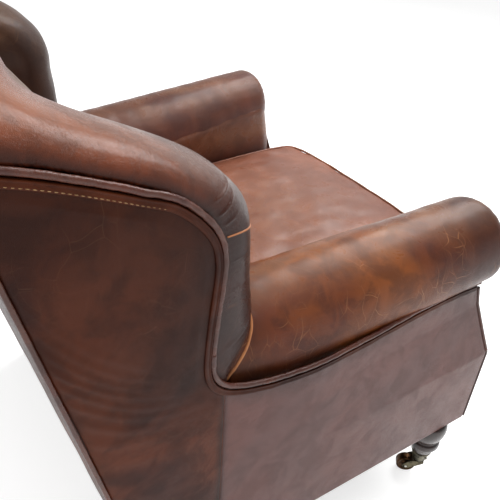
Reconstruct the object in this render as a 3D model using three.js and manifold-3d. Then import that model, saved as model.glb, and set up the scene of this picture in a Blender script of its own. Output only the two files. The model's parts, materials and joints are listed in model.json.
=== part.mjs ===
// A leather club chair with wings, rolled arms and casters on its front legs.
// Millimetres, +Z up. The chair faces -Y, so the sitter's right is -X.
// The origin lies on the floor, under the middle of the whole chair.

import * as THREE from 'three';
import { mergeGeometries, mergeVertices } from 'three/addons/utils/BufferGeometryUtils.js';
import Module from 'manifold-3d';

const wasm = await Module();
wasm.setup();

// ---------------------------------------------------------------- driving dimensions

const GAP = 0.4; // between pieces that touch

const BODY_BOTTOM = 156; // underside of the upholstered body
const RAIL_BOTTOM = 175;
const FRONT_Y = -400; // front of the base
const FRONT_TOP = 324; // top of the front border
const FLARE = 0.036; // each side runs outwards by this much per millimetre forwards
const SIDE_X = 391; // outer face of a side, where it crosses y = 0
const REAR_Y = 216.6; // rear face of the back, carried down to the floor
const RAKE = 0.1908; // the back leans back by this much per millimetre of height
const LEATHER = 4; // leather with its lining and backing board

const ARM_X = 293; // middle of an arm's roll at its rear end
const ARM_Z = 504;
const ARM_R = 80;
const ARM_REAR_Y = 66;
const ARM_FRONT_Y = -386;
const ARM_ROUND = 30; // rounding of the roll's front end
const ARM_RUN = 466; // the roll's changes below are over this length, forwards
const ARM_TAPER = 0.17; // part of its radius that the roll loses
const ARM_SPLAY = 18; // how far it runs outwards, over and above the flare
const ARM_RISE = 30;
const INNER_X = 237; // inside face of an arm, below its roll
const ARM_LEAN = 25; // the outside arm panel leans in under the roll's front end
const FACING_SLOPE = 0.353; // the arm's front runs back by this much per millimetre of height

const WING_INNER_X = 238;
const WING_OUTER_X = 384.5;
const WING_FRONT_Y = 67;
const WING_BOTTOM = 500;
const WING_TOP = 855;
const WING_REAR = -52; // measured from the back's rear face
const SEAM_Y = 142.5; // upright seam between the side panel and the outside arm panel

const BACK_HALF = 225.5; // half the width of the inside back
const BACK_FRONT = -165; // measured from the back's rear face
const TOP_HALF = 371; // half the width of the padded top
const TOP_FRONT = -140;
const CREST_Z = 965;
const TOP_SHOULDER_Z = 884;
const TOP_BOTTOM = 858;

const WELT_R = 3;
const SEAT_HALF = 221.5;
const SEAT_FRONT_Y = -446;
const SEAT_REAR_Y = 108;
const SEAT_BOTTOM = 332.5;
const SEAT_EDGE = 450;
const SEAT_CROWN = 466;
const SEAT_WELT_R = 2.6;

const FRONT_LEG = { x: 374.5, y: -343 };
const REAR_LEG = { x: 345, topY: 167, footY: 188, top: 44, foot: 30 };
const GLIDE = { r: 11, height: 4 };
const LEG_TOP = RAIL_BOTTOM - 0.5;
const LEG_FOOT = 42;
const WHEEL = { r: 18.5, width: 17, trail: 23, turn: 0.74, bore: 2.9 };
const AXLE_R = 2.5;
const PIN_R = 4;
const CUP = { bottom: 38, top: 67 };

// ---------------------------------------------------------------- colours

const FINISH = {
  leather: { color: 0x5a2f22, roughness: 0.45, metalness: 0 },
  leatherWorn: { color: 0x7d4a2c, roughness: 0.45, metalness: 0 },
  leatherSeat: { color: 0x7d5146, roughness: 0.4, metalness: 0 },
  timber: { color: 0xb08a5c, roughness: 0.8, metalness: 0 },
  polishedTimber: { color: 0x2c1b14, roughness: 0.35, metalness: 0 },
  steel: { color: 0x8a8c8f, roughness: 0.4, metalness: 0.9 },
  brass: { color: 0x4a4632, roughness: 0.4, metalness: 0.9 },
  cloth: { color: 0x1c1b1a, roughness: 0.95, metalness: 0 },
  jute: { color: 0x9a7f57, roughness: 0.95, metalness: 0 },
};

const chair = new THREE.Group();

// ---------------------------------------------------------------- helpers

/** Adds a closed geometry to the chair as one named piece. */
function add(name, geometry, finish) {
  const mesh = new THREE.Mesh(geometry, new THREE.MeshStandardMaterial(FINISH[finish]));
  mesh.name = name;
  chair.add(mesh);
  return mesh;
}

/** Leaves only shared positions and an index, which is what cutting and joining need. */
function welded(geometry) {
  const bare = geometry.clone();
  bare.deleteAttribute('normal');
  bare.deleteAttribute('uv');
  return mergeVertices(bare, 1e-3);
}

function solidOf(geometry) {
  const { attributes, index } = welded(geometry);
  const vertProperties = new Float32Array(attributes.position.array);
  const triVerts = new Uint32Array(index.array);
  return new wasm.Manifold(new wasm.Mesh({ numProp: 3, vertProperties, triVerts }));
}

function geometryOf(solid) {
  const mesh = solid.getMesh();
  const geometry = new THREE.BufferGeometry();
  geometry.setAttribute('position', new THREE.BufferAttribute(mesh.vertProperties, 3));
  geometry.setIndex(new THREE.BufferAttribute(mesh.triVerts, 1));
  return geometry;
}

const cut = (geometry, tool) => geometryOf(solidOf(geometry).subtract(solidOf(tool)));
const join = (geometry, other) => geometryOf(solidOf(geometry).add(solidOf(other)));

/** Moves every vertex to where place(x, y, z) says, and turns the faces over if asked. */
function warp(geometry, place, turnOver = false) {
  const out = welded(geometry);
  const position = out.attributes.position;
  for (let i = 0; i < position.count; i += 1) {
    position.setXYZ(i, ...place(position.getX(i), position.getY(i), position.getZ(i)));
  }
  if (turnOver) {
    const index = out.index.array;
    for (let i = 0; i < index.length; i += 3) {
      [index[i + 1], index[i + 2]] = [index[i + 2], index[i + 1]];
    }
  }
  return out;
}

/** Puts a piece made for the +X side on either side, running outwards with the flare. */
const onSide = (geometry, side) =>
  warp(geometry, (x, y, z) => [side * (x - FLARE * y), y, z], side < 0);

/** Leans a piece made upright, with its y measured from the back's rear face. */
const raked = (geometry) => warp(geometry, (x, y, z) => [x, REAR_Y + RAKE * z + y, z]);

/** How far forwards along the arm's roll a point lies, from 0 at its rear end. */
const along = (y) => (ARM_REAR_Y - y) / ARM_RUN;

/** Tapers, splays and lifts a piece made for a roll of even radius. */
function rolled(geometry) {
  return warp(geometry, (x, y, z) => {
    const size = 1 - ARM_TAPER * along(y);
    const [middleX, middleZ] = [ARM_X + ARM_SPLAY * along(y), ARM_Z + ARM_RISE * along(y)];
    return [middleX + (x - ARM_X) * size, y, middleZ + (z - ARM_Z) * size];
  });
}

const rearFace = (z) => REAR_Y + RAKE * z;
const facingY = (z) => FRONT_Y + FACING_SLOPE * (z - FRONT_TOP);

function boxFrom([x0, y0, z0], [x1, y1, z1]) {
  const box = new THREE.BoxGeometry(x1 - x0, y1 - y0, z1 - z0);
  return box.translate((x0 + x1) / 2, (y0 + y1) / 2, (z0 + z1) / 2);
}

const outline = (points) => new THREE.Shape(points.map(([a, b]) => new THREE.Vector2(a, b)));

/** A board whose outline is drawn in (y, z), between two distances from the middle. */
function sideBoard(shape, x0, x1, options = {}) {
  const flat = new THREE.ExtrudeGeometry(shape, { depth: x1 - x0, bevelEnabled: false, ...options });
  const axes = new THREE.Matrix4().makeBasis(
    new THREE.Vector3(0, 1, 0),
    new THREE.Vector3(0, 0, 1),
    new THREE.Vector3(1, 0, 0),
  );
  return flat.applyMatrix4(axes).translate(x0, 0, 0);
}

/** A board whose outline is drawn in (x, z), between two depths. */
function frontBoard(shape, y0, y1, options = {}) {
  const flat = new THREE.ExtrudeGeometry(shape, { depth: y1 - y0, bevelEnabled: false, ...options });
  return flat.rotateX(Math.PI / 2).translate(0, y1, 0);
}

/** A bevel that rounds the edges of a pad of the given depth and keeps its outline. */
function rounding(depth, size, segments = 3) {
  return {
    depth: depth - 2 * size,
    bevelEnabled: true,
    bevelThickness: size,
    bevelSize: size,
    bevelOffset: -size,
    bevelSegments: segments,
  };
}

/** A round cord along a curve. */
function cord(curve, radius, steps, facets = 6) {
  const corner = (i) => (2 * Math.PI * i) / facets;
  const section = outline(
    Array.from({ length: facets }, (_, i) => [radius * Math.cos(corner(i)), radius * Math.sin(corner(i))]),
  );
  return new THREE.ExtrudeGeometry(section, { steps, bevelEnabled: false, extrudePath: curve });
}

const lathe = (points, segments) =>
  new THREE.LatheGeometry(points.map(([r, z]) => new THREE.Vector2(r, z)), segments).rotateX(Math.PI / 2);

const sides = [
  { side: 1, label: 'left' },
  { side: -1, label: 'right' },
];

// ---------------------------------------------------------------- timber frame

function buildFrame() {
  const railTop = 296;
  const sideRailTop = 262;
  const railHalf = 330;
  add('front_rail', boxFrom([-372, -398, RAIL_BOTTOM], [372, -372, railTop]), 'timber');
  const rail = (bottom, top) => raked(boxFrom([-railHalf, -45, bottom], [railHalf, -12, top]));
  add('rear_rail', rail(RAIL_BOTTOM, railTop), 'timber');
  add('back_cross_rail', rail(330, 375), 'timber');
  add('back_top_rail', rail(800, 855), 'timber');

  for (const { side, label } of sides) {
    const sideRail = boxFrom([352, -371.5, RAIL_BOTTOM], [377, 195, sideRailTop]);
    add(`side_rail_${label}`, onSide(sideRail, side), 'timber');
    const post = raked(boxFrom([346, -48, RAIL_BOTTOM + GAP], [382, -8, 857]));
    add(`back_post_${label}`, onSide(post, side), 'timber');
    add(`arm_board_${label}`, onSide(rolled(boxFrom([283, -340, 460], [350, 250, 484])), side), 'timber');
    add(`arm_post_${label}`, onSide(boxFrom([308, -340, 256], [349, -290, 489 - GAP]), side), 'timber');
    add(`wing_frame_${label}`, onSide(wingFrame(0), side), 'timber');

    const block = (points) => new THREE.ExtrudeGeometry(outline(points), { depth: 75, bevelEnabled: false });
    const front = block([[280, -371], [351, -371], [351, -285]]).translate(0, 0, 180);
    add(`front_block_${label}`, onSide(front, side), 'timber');
    const rear = block([[345, 110], [345, 190], [270, 190]]).translate(0, 0, 180);
    add(`rear_block_${label}`, onSide(rear, side), 'timber');
  }
}

/** The board that shapes a wing, drawn in (y, z); grow adds the clearance of its slot. */
function wingFrame(grow) {
  const rear = (z) => rearFace(z) - 48 - GAP + 4 * grow;
  const bottom = 495 - 2 * grow;
  const shape = new THREE.Shape();
  shape.moveTo(150 - grow, bottom);
  shape.lineTo(rear(bottom), bottom);
  shape.lineTo(rear(815 + grow), 815 + grow);
  shape.bezierCurveTo(230, 806 + grow, 160 - grow, 760, 150 - grow, 680);
  shape.closePath();
  return sideBoard(shape, 350 - grow, 372 + grow, { curveSegments: 6 });
}

// ---------------------------------------------------------------- seat and back suspension

/** A zigzag seat spring of round wire, from the front rail to the rear rail. */
function zigzagSpring(x) {
  const wire = 1.8;
  const z = 296 + GAP + wire;
  const [front, rear, swing, waves] = [-390, 250, 22, 11];
  const points = [];
  for (let i = 0; i <= 2 * waves; i += 1) {
    const y = front + ((rear - front) * i) / (2 * waves);
    points.push(new THREE.Vector3(x + (i % 2 ? swing : -swing), y, z));
  }
  return cord(new THREE.CatmullRomCurve3(points, false, 'centripetal'), wire, 44, 5);
}

function buildSuspension() {
  [-168, -56, 56, 168].forEach((x, i) => add(`seat_spring_${i + 1}`, zigzagSpring(x), 'steel'));
  add('seat_deck', boxFrom([-232, -396, 304], [232, 190, 330.5]), 'jute');

  const [half, bottom, top, strap, pitch] = [262, 345, 829, 44, 80];
  const gaps = [];
  for (let x = -half + strap; x + pitch - strap < half; x += pitch) {
    for (let z = bottom + strap; z + pitch - strap < top; z += pitch) {
      gaps.push(boxFrom([x, -60, z], [x + pitch - strap, -40, z + pitch - strap]));
    }
  }
  const web = cut(boxFrom([-half, -50, bottom], [half, -48.4, top]), mergeGeometries(gaps));
  add('back_webbing', raked(web), 'jute');

  const legs = [];
  const square = REAR_LEG.top / 2 + 2;
  const middleY = REAR_LEG.topY;
  for (const { side } of sides) {
    const notch = [side * FRONT_LEG.x - 30, FRONT_LEG.y - 30, LEG_TOP - 5];
    legs.push(boxFrom(notch, [notch[0] + 60, notch[1] + 60, LEG_TOP + 5]));
    const x = side * REAR_LEG.x;
    const corner = [x - square, middleY - square - 4, LEG_TOP - 5];
    legs.push(boxFrom(corner, [x + square, middleY + square, LEG_TOP + 5]));
  }
  const sheet = boxFrom([-374, -394, RAIL_BOTTOM - 2], [374, 226, RAIL_BOTTOM - GAP]);
  add('dust_cover', cut(sheet, mergeGeometries(legs)), 'cloth');
}

// ---------------------------------------------------------------- seat cushion

/** The cushion's plan, widening forwards with rounded corners: (u, v) run from -1 to 1. */
function seatPlan(u, v, grow = 0) {
  const middle = (SEAT_FRONT_Y + SEAT_REAR_Y) / 2;
  const half = (SEAT_REAR_Y - SEAT_FRONT_Y) / 2;
  const corner = 1 - 0.07 * u ** 4 * v ** 4;
  const width = SEAT_HALF + FLARE * half * (1 - v) + grow;
  return [width * u * corner, middle + (half + grow) * v * corner];
}

function buildSeatCushion() {
  const cushion = warp(new THREE.BoxGeometry(2, 2, 2, 8, 8, 2), (u, v, w) => {
    const [x, y] = seatPlan(u, v);
    const edge = Math.max(Math.abs(u), Math.abs(v)) ** 6;
    const crown = (1 - u ** 4) * (1 - v ** 4);
    const top = SEAT_EDGE + (SEAT_CROWN - SEAT_EDGE) * crown;
    const bottom = SEAT_BOTTOM + 6 * edge;
    return [x, y, w > 0 ? top : w < 0 ? bottom : (SEAT_EDGE + SEAT_BOTTOM) / 2];
  });
  add('seat_cushion', cushion, 'leatherSeat');

  const levels = { top: SEAT_EDGE - 3, bottom: SEAT_BOTTOM + 9 };
  for (const [label, z] of Object.entries(levels)) {
    const ring = [];
    const grow = SEAT_WELT_R + 6 * GAP;
    const perSide = 8;
    for (let i = 0; i < 4 * perSide; i += 1) {
      const along = (2 * (i % perSide)) / perSide - 1;
      const [u, v] = [[along, -1], [1, along], [-along, 1], [-1, -along]][Math.floor(i / perSide)];
      ring.push(new THREE.Vector3(...seatPlan(u, v, grow), z));
    }
    ring.push(ring[0].clone().add(new THREE.Vector3(-1, 1, 0)));
    const loop = new THREE.CatmullRomCurve3(ring, false, 'centripetal');
    add(`cushion_welt_${label}`, cord(loop, SEAT_WELT_R, 64), 'leatherSeat');
  }
}

// ---------------------------------------------------------------- arms

/** The roll and inside face of an arm, open underneath for its timber. */
function armPad() {
  const [faceOuter, slotInner, slotOuter, slotTop] = [276, 282.5, 350.5, 484.5];
  const under = (x) => ARM_Z - Math.sqrt(ARM_R ** 2 - (x - ARM_X) ** 2);
  const angle = (x) => Math.atan2(under(x) - ARM_Z, x - ARM_X);
  const section = new THREE.Shape();
  section.moveTo(slotInner, under(slotInner));
  section.lineTo(slotInner, slotTop);
  section.lineTo(slotOuter, slotTop);
  section.lineTo(slotOuter, under(slotOuter));
  section.absarc(ARM_X, ARM_Z, ARM_R, angle(slotOuter), angle(slotInner) + 2 * Math.PI, false);
  const [slotFront, domeStart] = [-345, ARM_FRONT_Y + ARM_ROUND];
  const roll = frontBoard(section, slotFront, ARM_REAR_Y, { curveSegments: 24 });

  const profile = [[0, slotFront + 2], [ARM_R, slotFront + 2], [ARM_R, domeStart]];
  for (let i = 1; i <= 4; i += 1) {
    const turn = (i * Math.PI) / 8;
    profile.push([ARM_R - ARM_ROUND * (1 - Math.cos(turn)), domeStart - ARM_ROUND * Math.sin(turn)]);
  }
  profile.push([0, ARM_FRONT_Y]);
  const dome = new THREE.LatheGeometry(
    profile.reverse().map(([r, y]) => new THREE.Vector2(r, y)),
    26,
  ).translate(ARM_X, 0, ARM_Z);

  const face = warp(boxFrom([INNER_X, 0, 335], [faceOuter, 1, slotTop]), (x, y, z) => {
    const end = y > 0.5 ? 200 : facingY(z) + LEATHER + 3;
    return [z > ARM_Z - ARM_R ? x + ARM_SPLAY * Math.max(0, along(end)) : x, end, z];
  });
  return join(rolled(join(roll, dome)), face);
}

/** How far the outside arm panel leans in at a point of its face. */
const lean = (y, z) =>
  (ARM_LEAN * Math.max(0, -y) * THREE.MathUtils.clamp((z - FRONT_TOP) / 110, 0, 1)) / -FRONT_Y;

/** The edge of the outer side panel, from the back's rear face round the wing, in (y, z). */
const WING_EDGE = [
  [374, 863], [344, 854], [308, 841], [269, 824.5], [235, 809.5], [200, 793], [171.5, 767],
  [154, 741], [147, 714], [149, 688], [156, 645], [163, 602], [166, 567], [160, 543], [144, 526],
];

/** The line under the arm's roll that the welt follows, from the corner forwards, in (y, z). */
const UNDER_ROLL = [
  [118, 515], [77, 502], [33, 495], [-24, 491], [-100, 491], [-200, 494], [-285, 491.5], [-345, 485],
];

const weltRoute = [...WING_EDGE, ...UNDER_ROLL];

/** The side welt's curve, at a distance from the middle given for each of its points. */
function weltCurve(distance) {
  const route = weltRoute.map(([y, z]) => new THREE.Vector3(distance(y, z), y, z));
  return new THREE.CatmullRomCurve3(route, false, 'centripetal');
}

/** The edge of the leather that lies below and behind the welt, in (y, z). */
const leatherEdge = weltCurve(() => 0)
  .getPoints(52)
  .map((point, i, all) => {
    const before = all[Math.max(0, i - 1)];
    const after = all[Math.min(all.length - 1, i + 1)];
    const [dy, dz] = [after.y - before.y, after.z - before.z];
    const inset = (WELT_R + 2 * GAP) / Math.hypot(dy, dz);
    return [point.y - inset * dz, point.z + inset * dy];
  });
const cornerIndex = leatherEdge.findIndex(([y, z]) => y < SEAM_Y - 3 && z < ARM_Z + 30);
const cornerZ = leatherEdge[cornerIndex][1] - 1;

function buildArms() {
  const armOutline = [
    [SEAM_Y, BODY_BOTTOM],
    [SEAM_Y, cornerZ],
    ...leatherEdge.slice(cornerIndex),
    [facingY(FRONT_TOP + 110), FRONT_TOP + 110],
    [FRONT_Y, FRONT_TOP],
    [FRONT_Y, BODY_BOTTOM],
  ];
  for (const { side, label } of sides) {
    add(`arm_pad_${label}`, onSide(armPad(), side), 'leatherWorn');

    const flat = sideBoard(outline(armOutline), SIDE_X - LEATHER, SIDE_X);
    const panel = warp(flat, (x, y, z) => [x - lean(y, z), y, z]);
    add(`outside_arm_panel_${label}`, onSide(panel, side), 'leather');

    const shape = outline([
      [INNER_X, 327], [385, 327], [361, 434], [361, 456], [INNER_X + 12, 456], [INNER_X, 430],
    ]);
    const facing = warp(frontBoard(shape, 0, LEATHER), (x, y, z) => [x, facingY(z) + y, z]);
    add(`arm_facing_${label}`, onSide(facing, side), 'leather');
  }
}

// ---------------------------------------------------------------- wings and sides

function buildWings() {
  const pad = new THREE.Shape();
  pad.moveTo(WING_FRONT_Y, WING_BOTTOM);
  pad.lineTo(rearFace(WING_BOTTOM) + WING_REAR, WING_BOTTOM);
  pad.lineTo(rearFace(WING_TOP) + WING_REAR, WING_TOP);
  pad.lineTo(245, WING_TOP);
  pad.bezierCurveTo(205, 832, 150, 812, 112, 776);
  pad.bezierCurveTo(84, 750, WING_FRONT_Y + 3, 700, WING_FRONT_Y, 640);
  pad.closePath();
  const size = 34;
  const depth = WING_OUTER_X - WING_INNER_X;
  const solid = sideBoard(pad, WING_INNER_X, WING_OUTER_X, { ...rounding(depth, size), curveSegments: 7 });
  const wing = cut(solid.translate(size, 0, 0), wingFrame(GAP));

  const rearEdge = LEATHER + 0.6;
  const panelOutline = outline([
    [rearFace(858) - rearEdge, 858],
    ...leatherEdge.slice(1, cornerIndex - 1),
    [SEAM_Y + 0.6, cornerZ],
    [SEAM_Y + 0.6, BODY_BOTTOM],
    [rearFace(BODY_BOTTOM) - rearEdge, BODY_BOTTOM],
  ]);

  for (const { side, label } of sides) {
    add(`wing_pad_${label}`, onSide(wing, side), 'leather');
    const panel = sideBoard(panelOutline, SIDE_X - LEATHER, SIDE_X);
    add(`outer_side_panel_${label}`, onSide(panel, side), 'leather');

    const curve = weltCurve((y, z) => SIDE_X - WELT_R - lean(y, z));
    const welt = cord(curve, WELT_R, 60);
    add(`side_welt_${label}`, onSide(welt, side), 'leather');
  }
}

// ---------------------------------------------------------------- back and front

function buildBack() {
  const slab = outline([[-BACK_HALF, 335], [BACK_HALF, 335], [BACK_HALF, 872], [-BACK_HALF, 872]]);
  const slabDepth = WING_REAR - BACK_FRONT;
  const inside = frontBoard(slab, BACK_FRONT, WING_REAR, rounding(slabDepth, 18)).translate(0, -18, 0);

  const topRear = -6;
  const [middle, halfDepth] = [(topRear + TOP_FRONT) / 2, (topRear - TOP_FRONT) / 2];
  const top = warp(new THREE.BoxGeometry(2, 2, 2, 12, 4, 4), (u, v, w) => {
    const crest = TOP_SHOULDER_Z + (CREST_Z - TOP_SHOULDER_Z) * (1 - Math.abs(u) ** 2.6) ** 0.8;
    const fullness = Math.sqrt(1 - 0.42 * w * w);
    const height = (1 + w * Math.sqrt(1 - 0.42 * v * v)) / 2;
    const y = middle + halfDepth * v * (w > 0 ? fullness : 1);
    return [TOP_HALF * u, y, TOP_BOTTOM + (w > 0 ? height : (1 + w) / 2) * (crest - TOP_BOTTOM)];
  });
  add('inside_back_pad', raked(join(inside, top)), 'leather');

  const [low, high] = [BODY_BOTTOM, 872].map((z) => SIDE_X - FLARE * rearFace(z) - 0.5);
  const shape = new THREE.Shape();
  shape.moveTo(-low, BODY_BOTTOM + 1);
  shape.lineTo(low, BODY_BOTTOM + 1);
  shape.lineTo(high, 872);
  shape.quadraticCurveTo(200, 908, 0, 908);
  shape.quadraticCurveTo(-200, 908, -high, 872);
  shape.closePath();
  const panel = frontBoard(shape, -LEATHER, 0, { curveSegments: 8 });
  add('outside_back_panel', raked(panel), 'leather');

  const half = SIDE_X - FLARE * FRONT_Y;
  const [round, proud] = [20, 24];
  const plan = new THREE.Shape();
  plan.moveTo(-half, FRONT_Y - 1);
  plan.quadraticCurveTo(-half, FRONT_Y - proud, -half + round, FRONT_Y - proud);
  plan.lineTo(half - round, FRONT_Y - proud);
  plan.quadraticCurveTo(half, FRONT_Y - proud, half, FRONT_Y - 1);
  plan.closePath();
  const border = new THREE.ExtrudeGeometry(plan, {
    depth: FRONT_TOP - 2 - BODY_BOTTOM,
    bevelEnabled: false,
    curveSegments: 5,
  });
  add('front_border', border.translate(0, 0, BODY_BOTTOM), 'leather');
}

// ---------------------------------------------------------------- legs

/** Radius and height down a turned front leg; its foot is bored for the caster's pin. */
const TURNING = [
  [0, LEG_TOP], [23.5, LEG_TOP], [23.5, 155.6], [29, 154.4], [32.5, 148], [33.5, 138], [32, 124],
  [28.5, 113], [25, 106.5], [24.5, 103], [27.5, 100.5], [28.5, 96], [28.5, 89], [27, 86], [25, 85],
  [24, 80], [21, 73], [19.8, 67.6], [16.6, 67.6], [11.6, LEG_FOOT],
  [PIN_R + GAP, LEG_FOOT], [PIN_R + GAP, 66], [0, 66],
];

/** A round bar across the caster's cup, along the line that its screw follows. */
function screwBar(radius, inner, outer) {
  const bar = new THREE.CylinderGeometry(radius, radius, outer - inner, 12);
  return bar.rotateZ(Math.PI / 2).translate((inner + outer) / 2, 0, 52.5).rotateZ(0.95 * Math.PI);
}

function buildLegs() {
  const hole = screwBar(1.9, 9.5, 30);
  const leg = cut(lathe(TURNING.slice().reverse(), 16), hole);
  const cupProfile = [
    [17.1, CUP.top], [12.1, LEG_FOOT - GAP], [PIN_R + GAP, LEG_FOOT - GAP],
    [PIN_R + GAP, CUP.bottom], [11.6, CUP.bottom], [13, 39.5],
    [18.6, CUP.top - 4], [20, CUP.top], [17.1, CUP.top],
  ];
  const cup = cut(lathe(cupProfile, 20), hole);
  const screw = join(screwBar(1.5, 10, 18), screwBar(3.4, 17.3, 19.3));

  for (const { side, label } of sides) {
    const at = (geometry) =>
      warp(geometry, (x, y, z) => [side * (x + FRONT_LEG.x), y + FRONT_LEG.y, z], side < 0);
    const half = (z) => THREE.MathUtils.mapLinear(z, 0, LEG_TOP, REAR_LEG.foot, REAR_LEG.top) / 2;
    const outward = (geometry) => warp(geometry, (x, y, z) => [-x, y, z], true);
    add(`front_leg_${label}`, at(outward(leg)), 'polishedTimber');
    add(`caster_cup_${label}`, at(outward(cup)), 'brass');
    add(`cup_screw_${label}`, at(outward(screw)), 'steel');

    const rear = warp(new THREE.BoxGeometry(2, 2, 1), (u, v, w) => {
      const z = w > 0 ? LEG_TOP : GLIDE.height + GAP;
      const y = THREE.MathUtils.mapLinear(z, 0, LEG_TOP, REAR_LEG.footY, REAR_LEG.topY);
      return [side * REAR_LEG.x + u * half(z), y + v * half(z), z];
    });
    add(`rear_leg_${label}`, rear, 'polishedTimber');
    const disc = new THREE.CylinderGeometry(GLIDE.r, GLIDE.r, GLIDE.height, 20).rotateX(Math.PI / 2);
    disc.translate(side * REAR_LEG.x, REAR_LEG.footY, GLIDE.height / 2);
    add(`rear_glide_${label}`, disc, 'steel');
  }
}

// ---------------------------------------------------------------- casters

/** A caster made about its swivel axis, with its wheel trailing towards +Y. */
function casterPieces() {
  const facets = 22;
  const rim = WHEEL.r / Math.cos(Math.PI / facets);
  const half = WHEEL.width / 2;
  const axleZ = WHEEL.r;
  const cheekInner = half + 1.2;
  const cheek = 2.4;
  const plateTop = CUP.bottom - 0.6;
  const plateBottom = plateTop - 3;

  const wheelProfile = [
    [WHEEL.bore, -half], [7, -half], [9, -half + 2], [14, -half + 2], [rim - 1.5, -half],
    [rim, -half + 1.5], [rim, half - 1.5], [rim - 1.5, half], [14, half - 2], [9, half - 2],
    [7, half], [WHEEL.bore, half], [WHEEL.bore, -half],
  ];
  const turned = new THREE.LatheGeometry(
    wheelProfile.map(([r, x]) => new THREE.Vector2(r, x)),
    facets,
  );
  const wheel = turned.rotateY(Math.PI / facets).rotateZ(Math.PI / 2).translate(0, WHEEL.trail, axleZ);
  const axle = new THREE.CylinderGeometry(AXLE_R, AXLE_R, 2 * (cheekInner + cheek) + 2, 14);
  axle.rotateZ(Math.PI / 2).translate(0, WHEEL.trail, axleZ);

  const side = new THREE.Shape();
  side.moveTo(-9, plateTop);
  side.lineTo(9, plateTop);
  side.quadraticCurveTo(20, plateTop - 2, WHEEL.trail + 7 * Math.cos(0.6), axleZ + 7 * Math.sin(0.6));
  side.absarc(WHEEL.trail, axleZ, 7, 0.6, -2.2, true);
  side.quadraticCurveTo(5, 22, -9, plateTop - 4.5);
  side.closePath();
  const bore = new THREE.Path();
  bore.absarc(WHEEL.trail, axleZ, AXLE_R + GAP, 0, 2 * Math.PI);
  side.holes.push(bore);
  const cheekAt = (x) => sideBoard(side, x, x + cheek, { curveSegments: 5 });
  const yoke = lathe(
    [[0, plateBottom], [11, plateBottom], [12.6, plateBottom + 1], [12.6, plateTop], [0, plateTop]],
    20,
  );
  const pin = lathe([[0, plateTop - 1], [PIN_R, plateTop - 1], [PIN_R, 64], [0, 64]], 16);
  const fork = join(join(join(yoke, pin), cheekAt(cheekInner)), cheekAt(-cheekInner - cheek));
  return { wheel, axle, fork };
}

function buildCasters() {
  const pieces = casterPieces();
  const finish = { wheel: 'brass', axle: 'steel', fork: 'brass' };
  for (const { side, label } of sides) {
    for (const [name, geometry] of Object.entries(pieces)) {
      const placed = geometry.clone().rotateZ(side * WHEEL.turn);
      placed.translate(side * FRONT_LEG.x, FRONT_LEG.y, 0);
      add(`caster_${name}_${label}`, placed, finish[name]);
    }
  }
}

buildFrame();
buildSuspension();
buildSeatCushion();
buildArms();
buildWings();
buildBack();
buildLegs();
buildCasters();

const extent = new THREE.Box3().setFromObject(chair);
chair.position.y = -(extent.min.y + extent.max.y) / 2;

export default chair;
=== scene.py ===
"""Looks of a worn leather club chair: upholstery, stitching, piping, turned legs and casters."""
import json
import logging
import math
from dataclasses import dataclass
from enum import Enum
from typing import Callable, Iterable, Optional, Sequence

import bmesh
import bpy
import numpy as np
from mathutils import Matrix, Vector


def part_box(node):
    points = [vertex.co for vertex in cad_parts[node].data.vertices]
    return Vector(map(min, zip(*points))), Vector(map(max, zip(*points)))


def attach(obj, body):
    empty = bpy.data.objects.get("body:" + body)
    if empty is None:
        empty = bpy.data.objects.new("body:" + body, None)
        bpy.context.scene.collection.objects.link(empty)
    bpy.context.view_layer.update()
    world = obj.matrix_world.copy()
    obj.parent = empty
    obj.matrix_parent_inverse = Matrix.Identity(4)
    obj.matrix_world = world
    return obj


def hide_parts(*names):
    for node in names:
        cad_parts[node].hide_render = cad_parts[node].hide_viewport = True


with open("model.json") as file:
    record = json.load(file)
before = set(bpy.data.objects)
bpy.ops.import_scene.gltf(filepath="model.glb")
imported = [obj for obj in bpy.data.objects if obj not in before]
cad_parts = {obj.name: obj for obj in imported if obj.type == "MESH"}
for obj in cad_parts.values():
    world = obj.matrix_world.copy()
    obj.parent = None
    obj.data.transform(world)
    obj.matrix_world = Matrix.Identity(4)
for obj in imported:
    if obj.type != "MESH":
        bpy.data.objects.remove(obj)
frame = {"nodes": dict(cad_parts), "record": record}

LOG = logging.getLogger("club_chair")
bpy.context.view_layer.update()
DATUM_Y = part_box("outside_arm_panel_right")[0].y + 0.400  # shapes below count y from this plane
FLARE = 0.036  # the sides run outwards by this much per metre forwards
RAKE = 0.1908  # the back leans by this much per metre of height
REAR_Y = 0.2166  # rear face of the back, carried down to the floor
SIDE_X = 0.391  # a side's face, where it crosses y = 0
BODY_BOTTOM = 0.156
SEAM_Y = 0.1425  # the upright seam between the two panels of a side
SEAM_TOP = 0.524  # height up to which that seam is the outer panel's front edge
FRONT_Y = -0.400  # front of the arms below their slope
SLOPE_START = 0.324  # height where the arms' front starts to slope back
SLOPE = 0.353  # how far it goes back per metre of height
WELT_GAP = 0.0036  # from the side welt's middle to the leather beside it
INSIDE_X = 0.2375  # inside faces of the arms, low down
BACK_CORNER_Z = 0.872  # top of the outside back at its corners
BACK_ARCH = 0.034  # how much higher it is in the middle
Line = Sequence[tuple[float, float]]
Place = tuple[float, float, float]

# Route of the side welt in (y, z): round the wing from the back, then along under the arm's roll.
WING_ROUTE: Line = (
    (0.372, 0.8695), (0.342, 0.8605), (0.3055, 0.847), (0.2665, 0.830), (0.2328, 0.8142), (0.1977, 0.797),
    (0.1692, 0.7695), (0.1525, 0.742), (0.147, 0.714), (0.148, 0.688), (0.153, 0.645), (0.157, 0.602),
    (0.158, 0.567), (0.153, 0.544), (0.139, 0.5265),
)
ARM_ROUTE: Line = (
    (0.118, 0.515), (0.077, 0.502), (0.033, 0.495), (-0.024, 0.491), (-0.100, 0.491), (-0.200, 0.494),
    (-0.285, 0.4915), (-0.345, 0.485),
)


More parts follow.
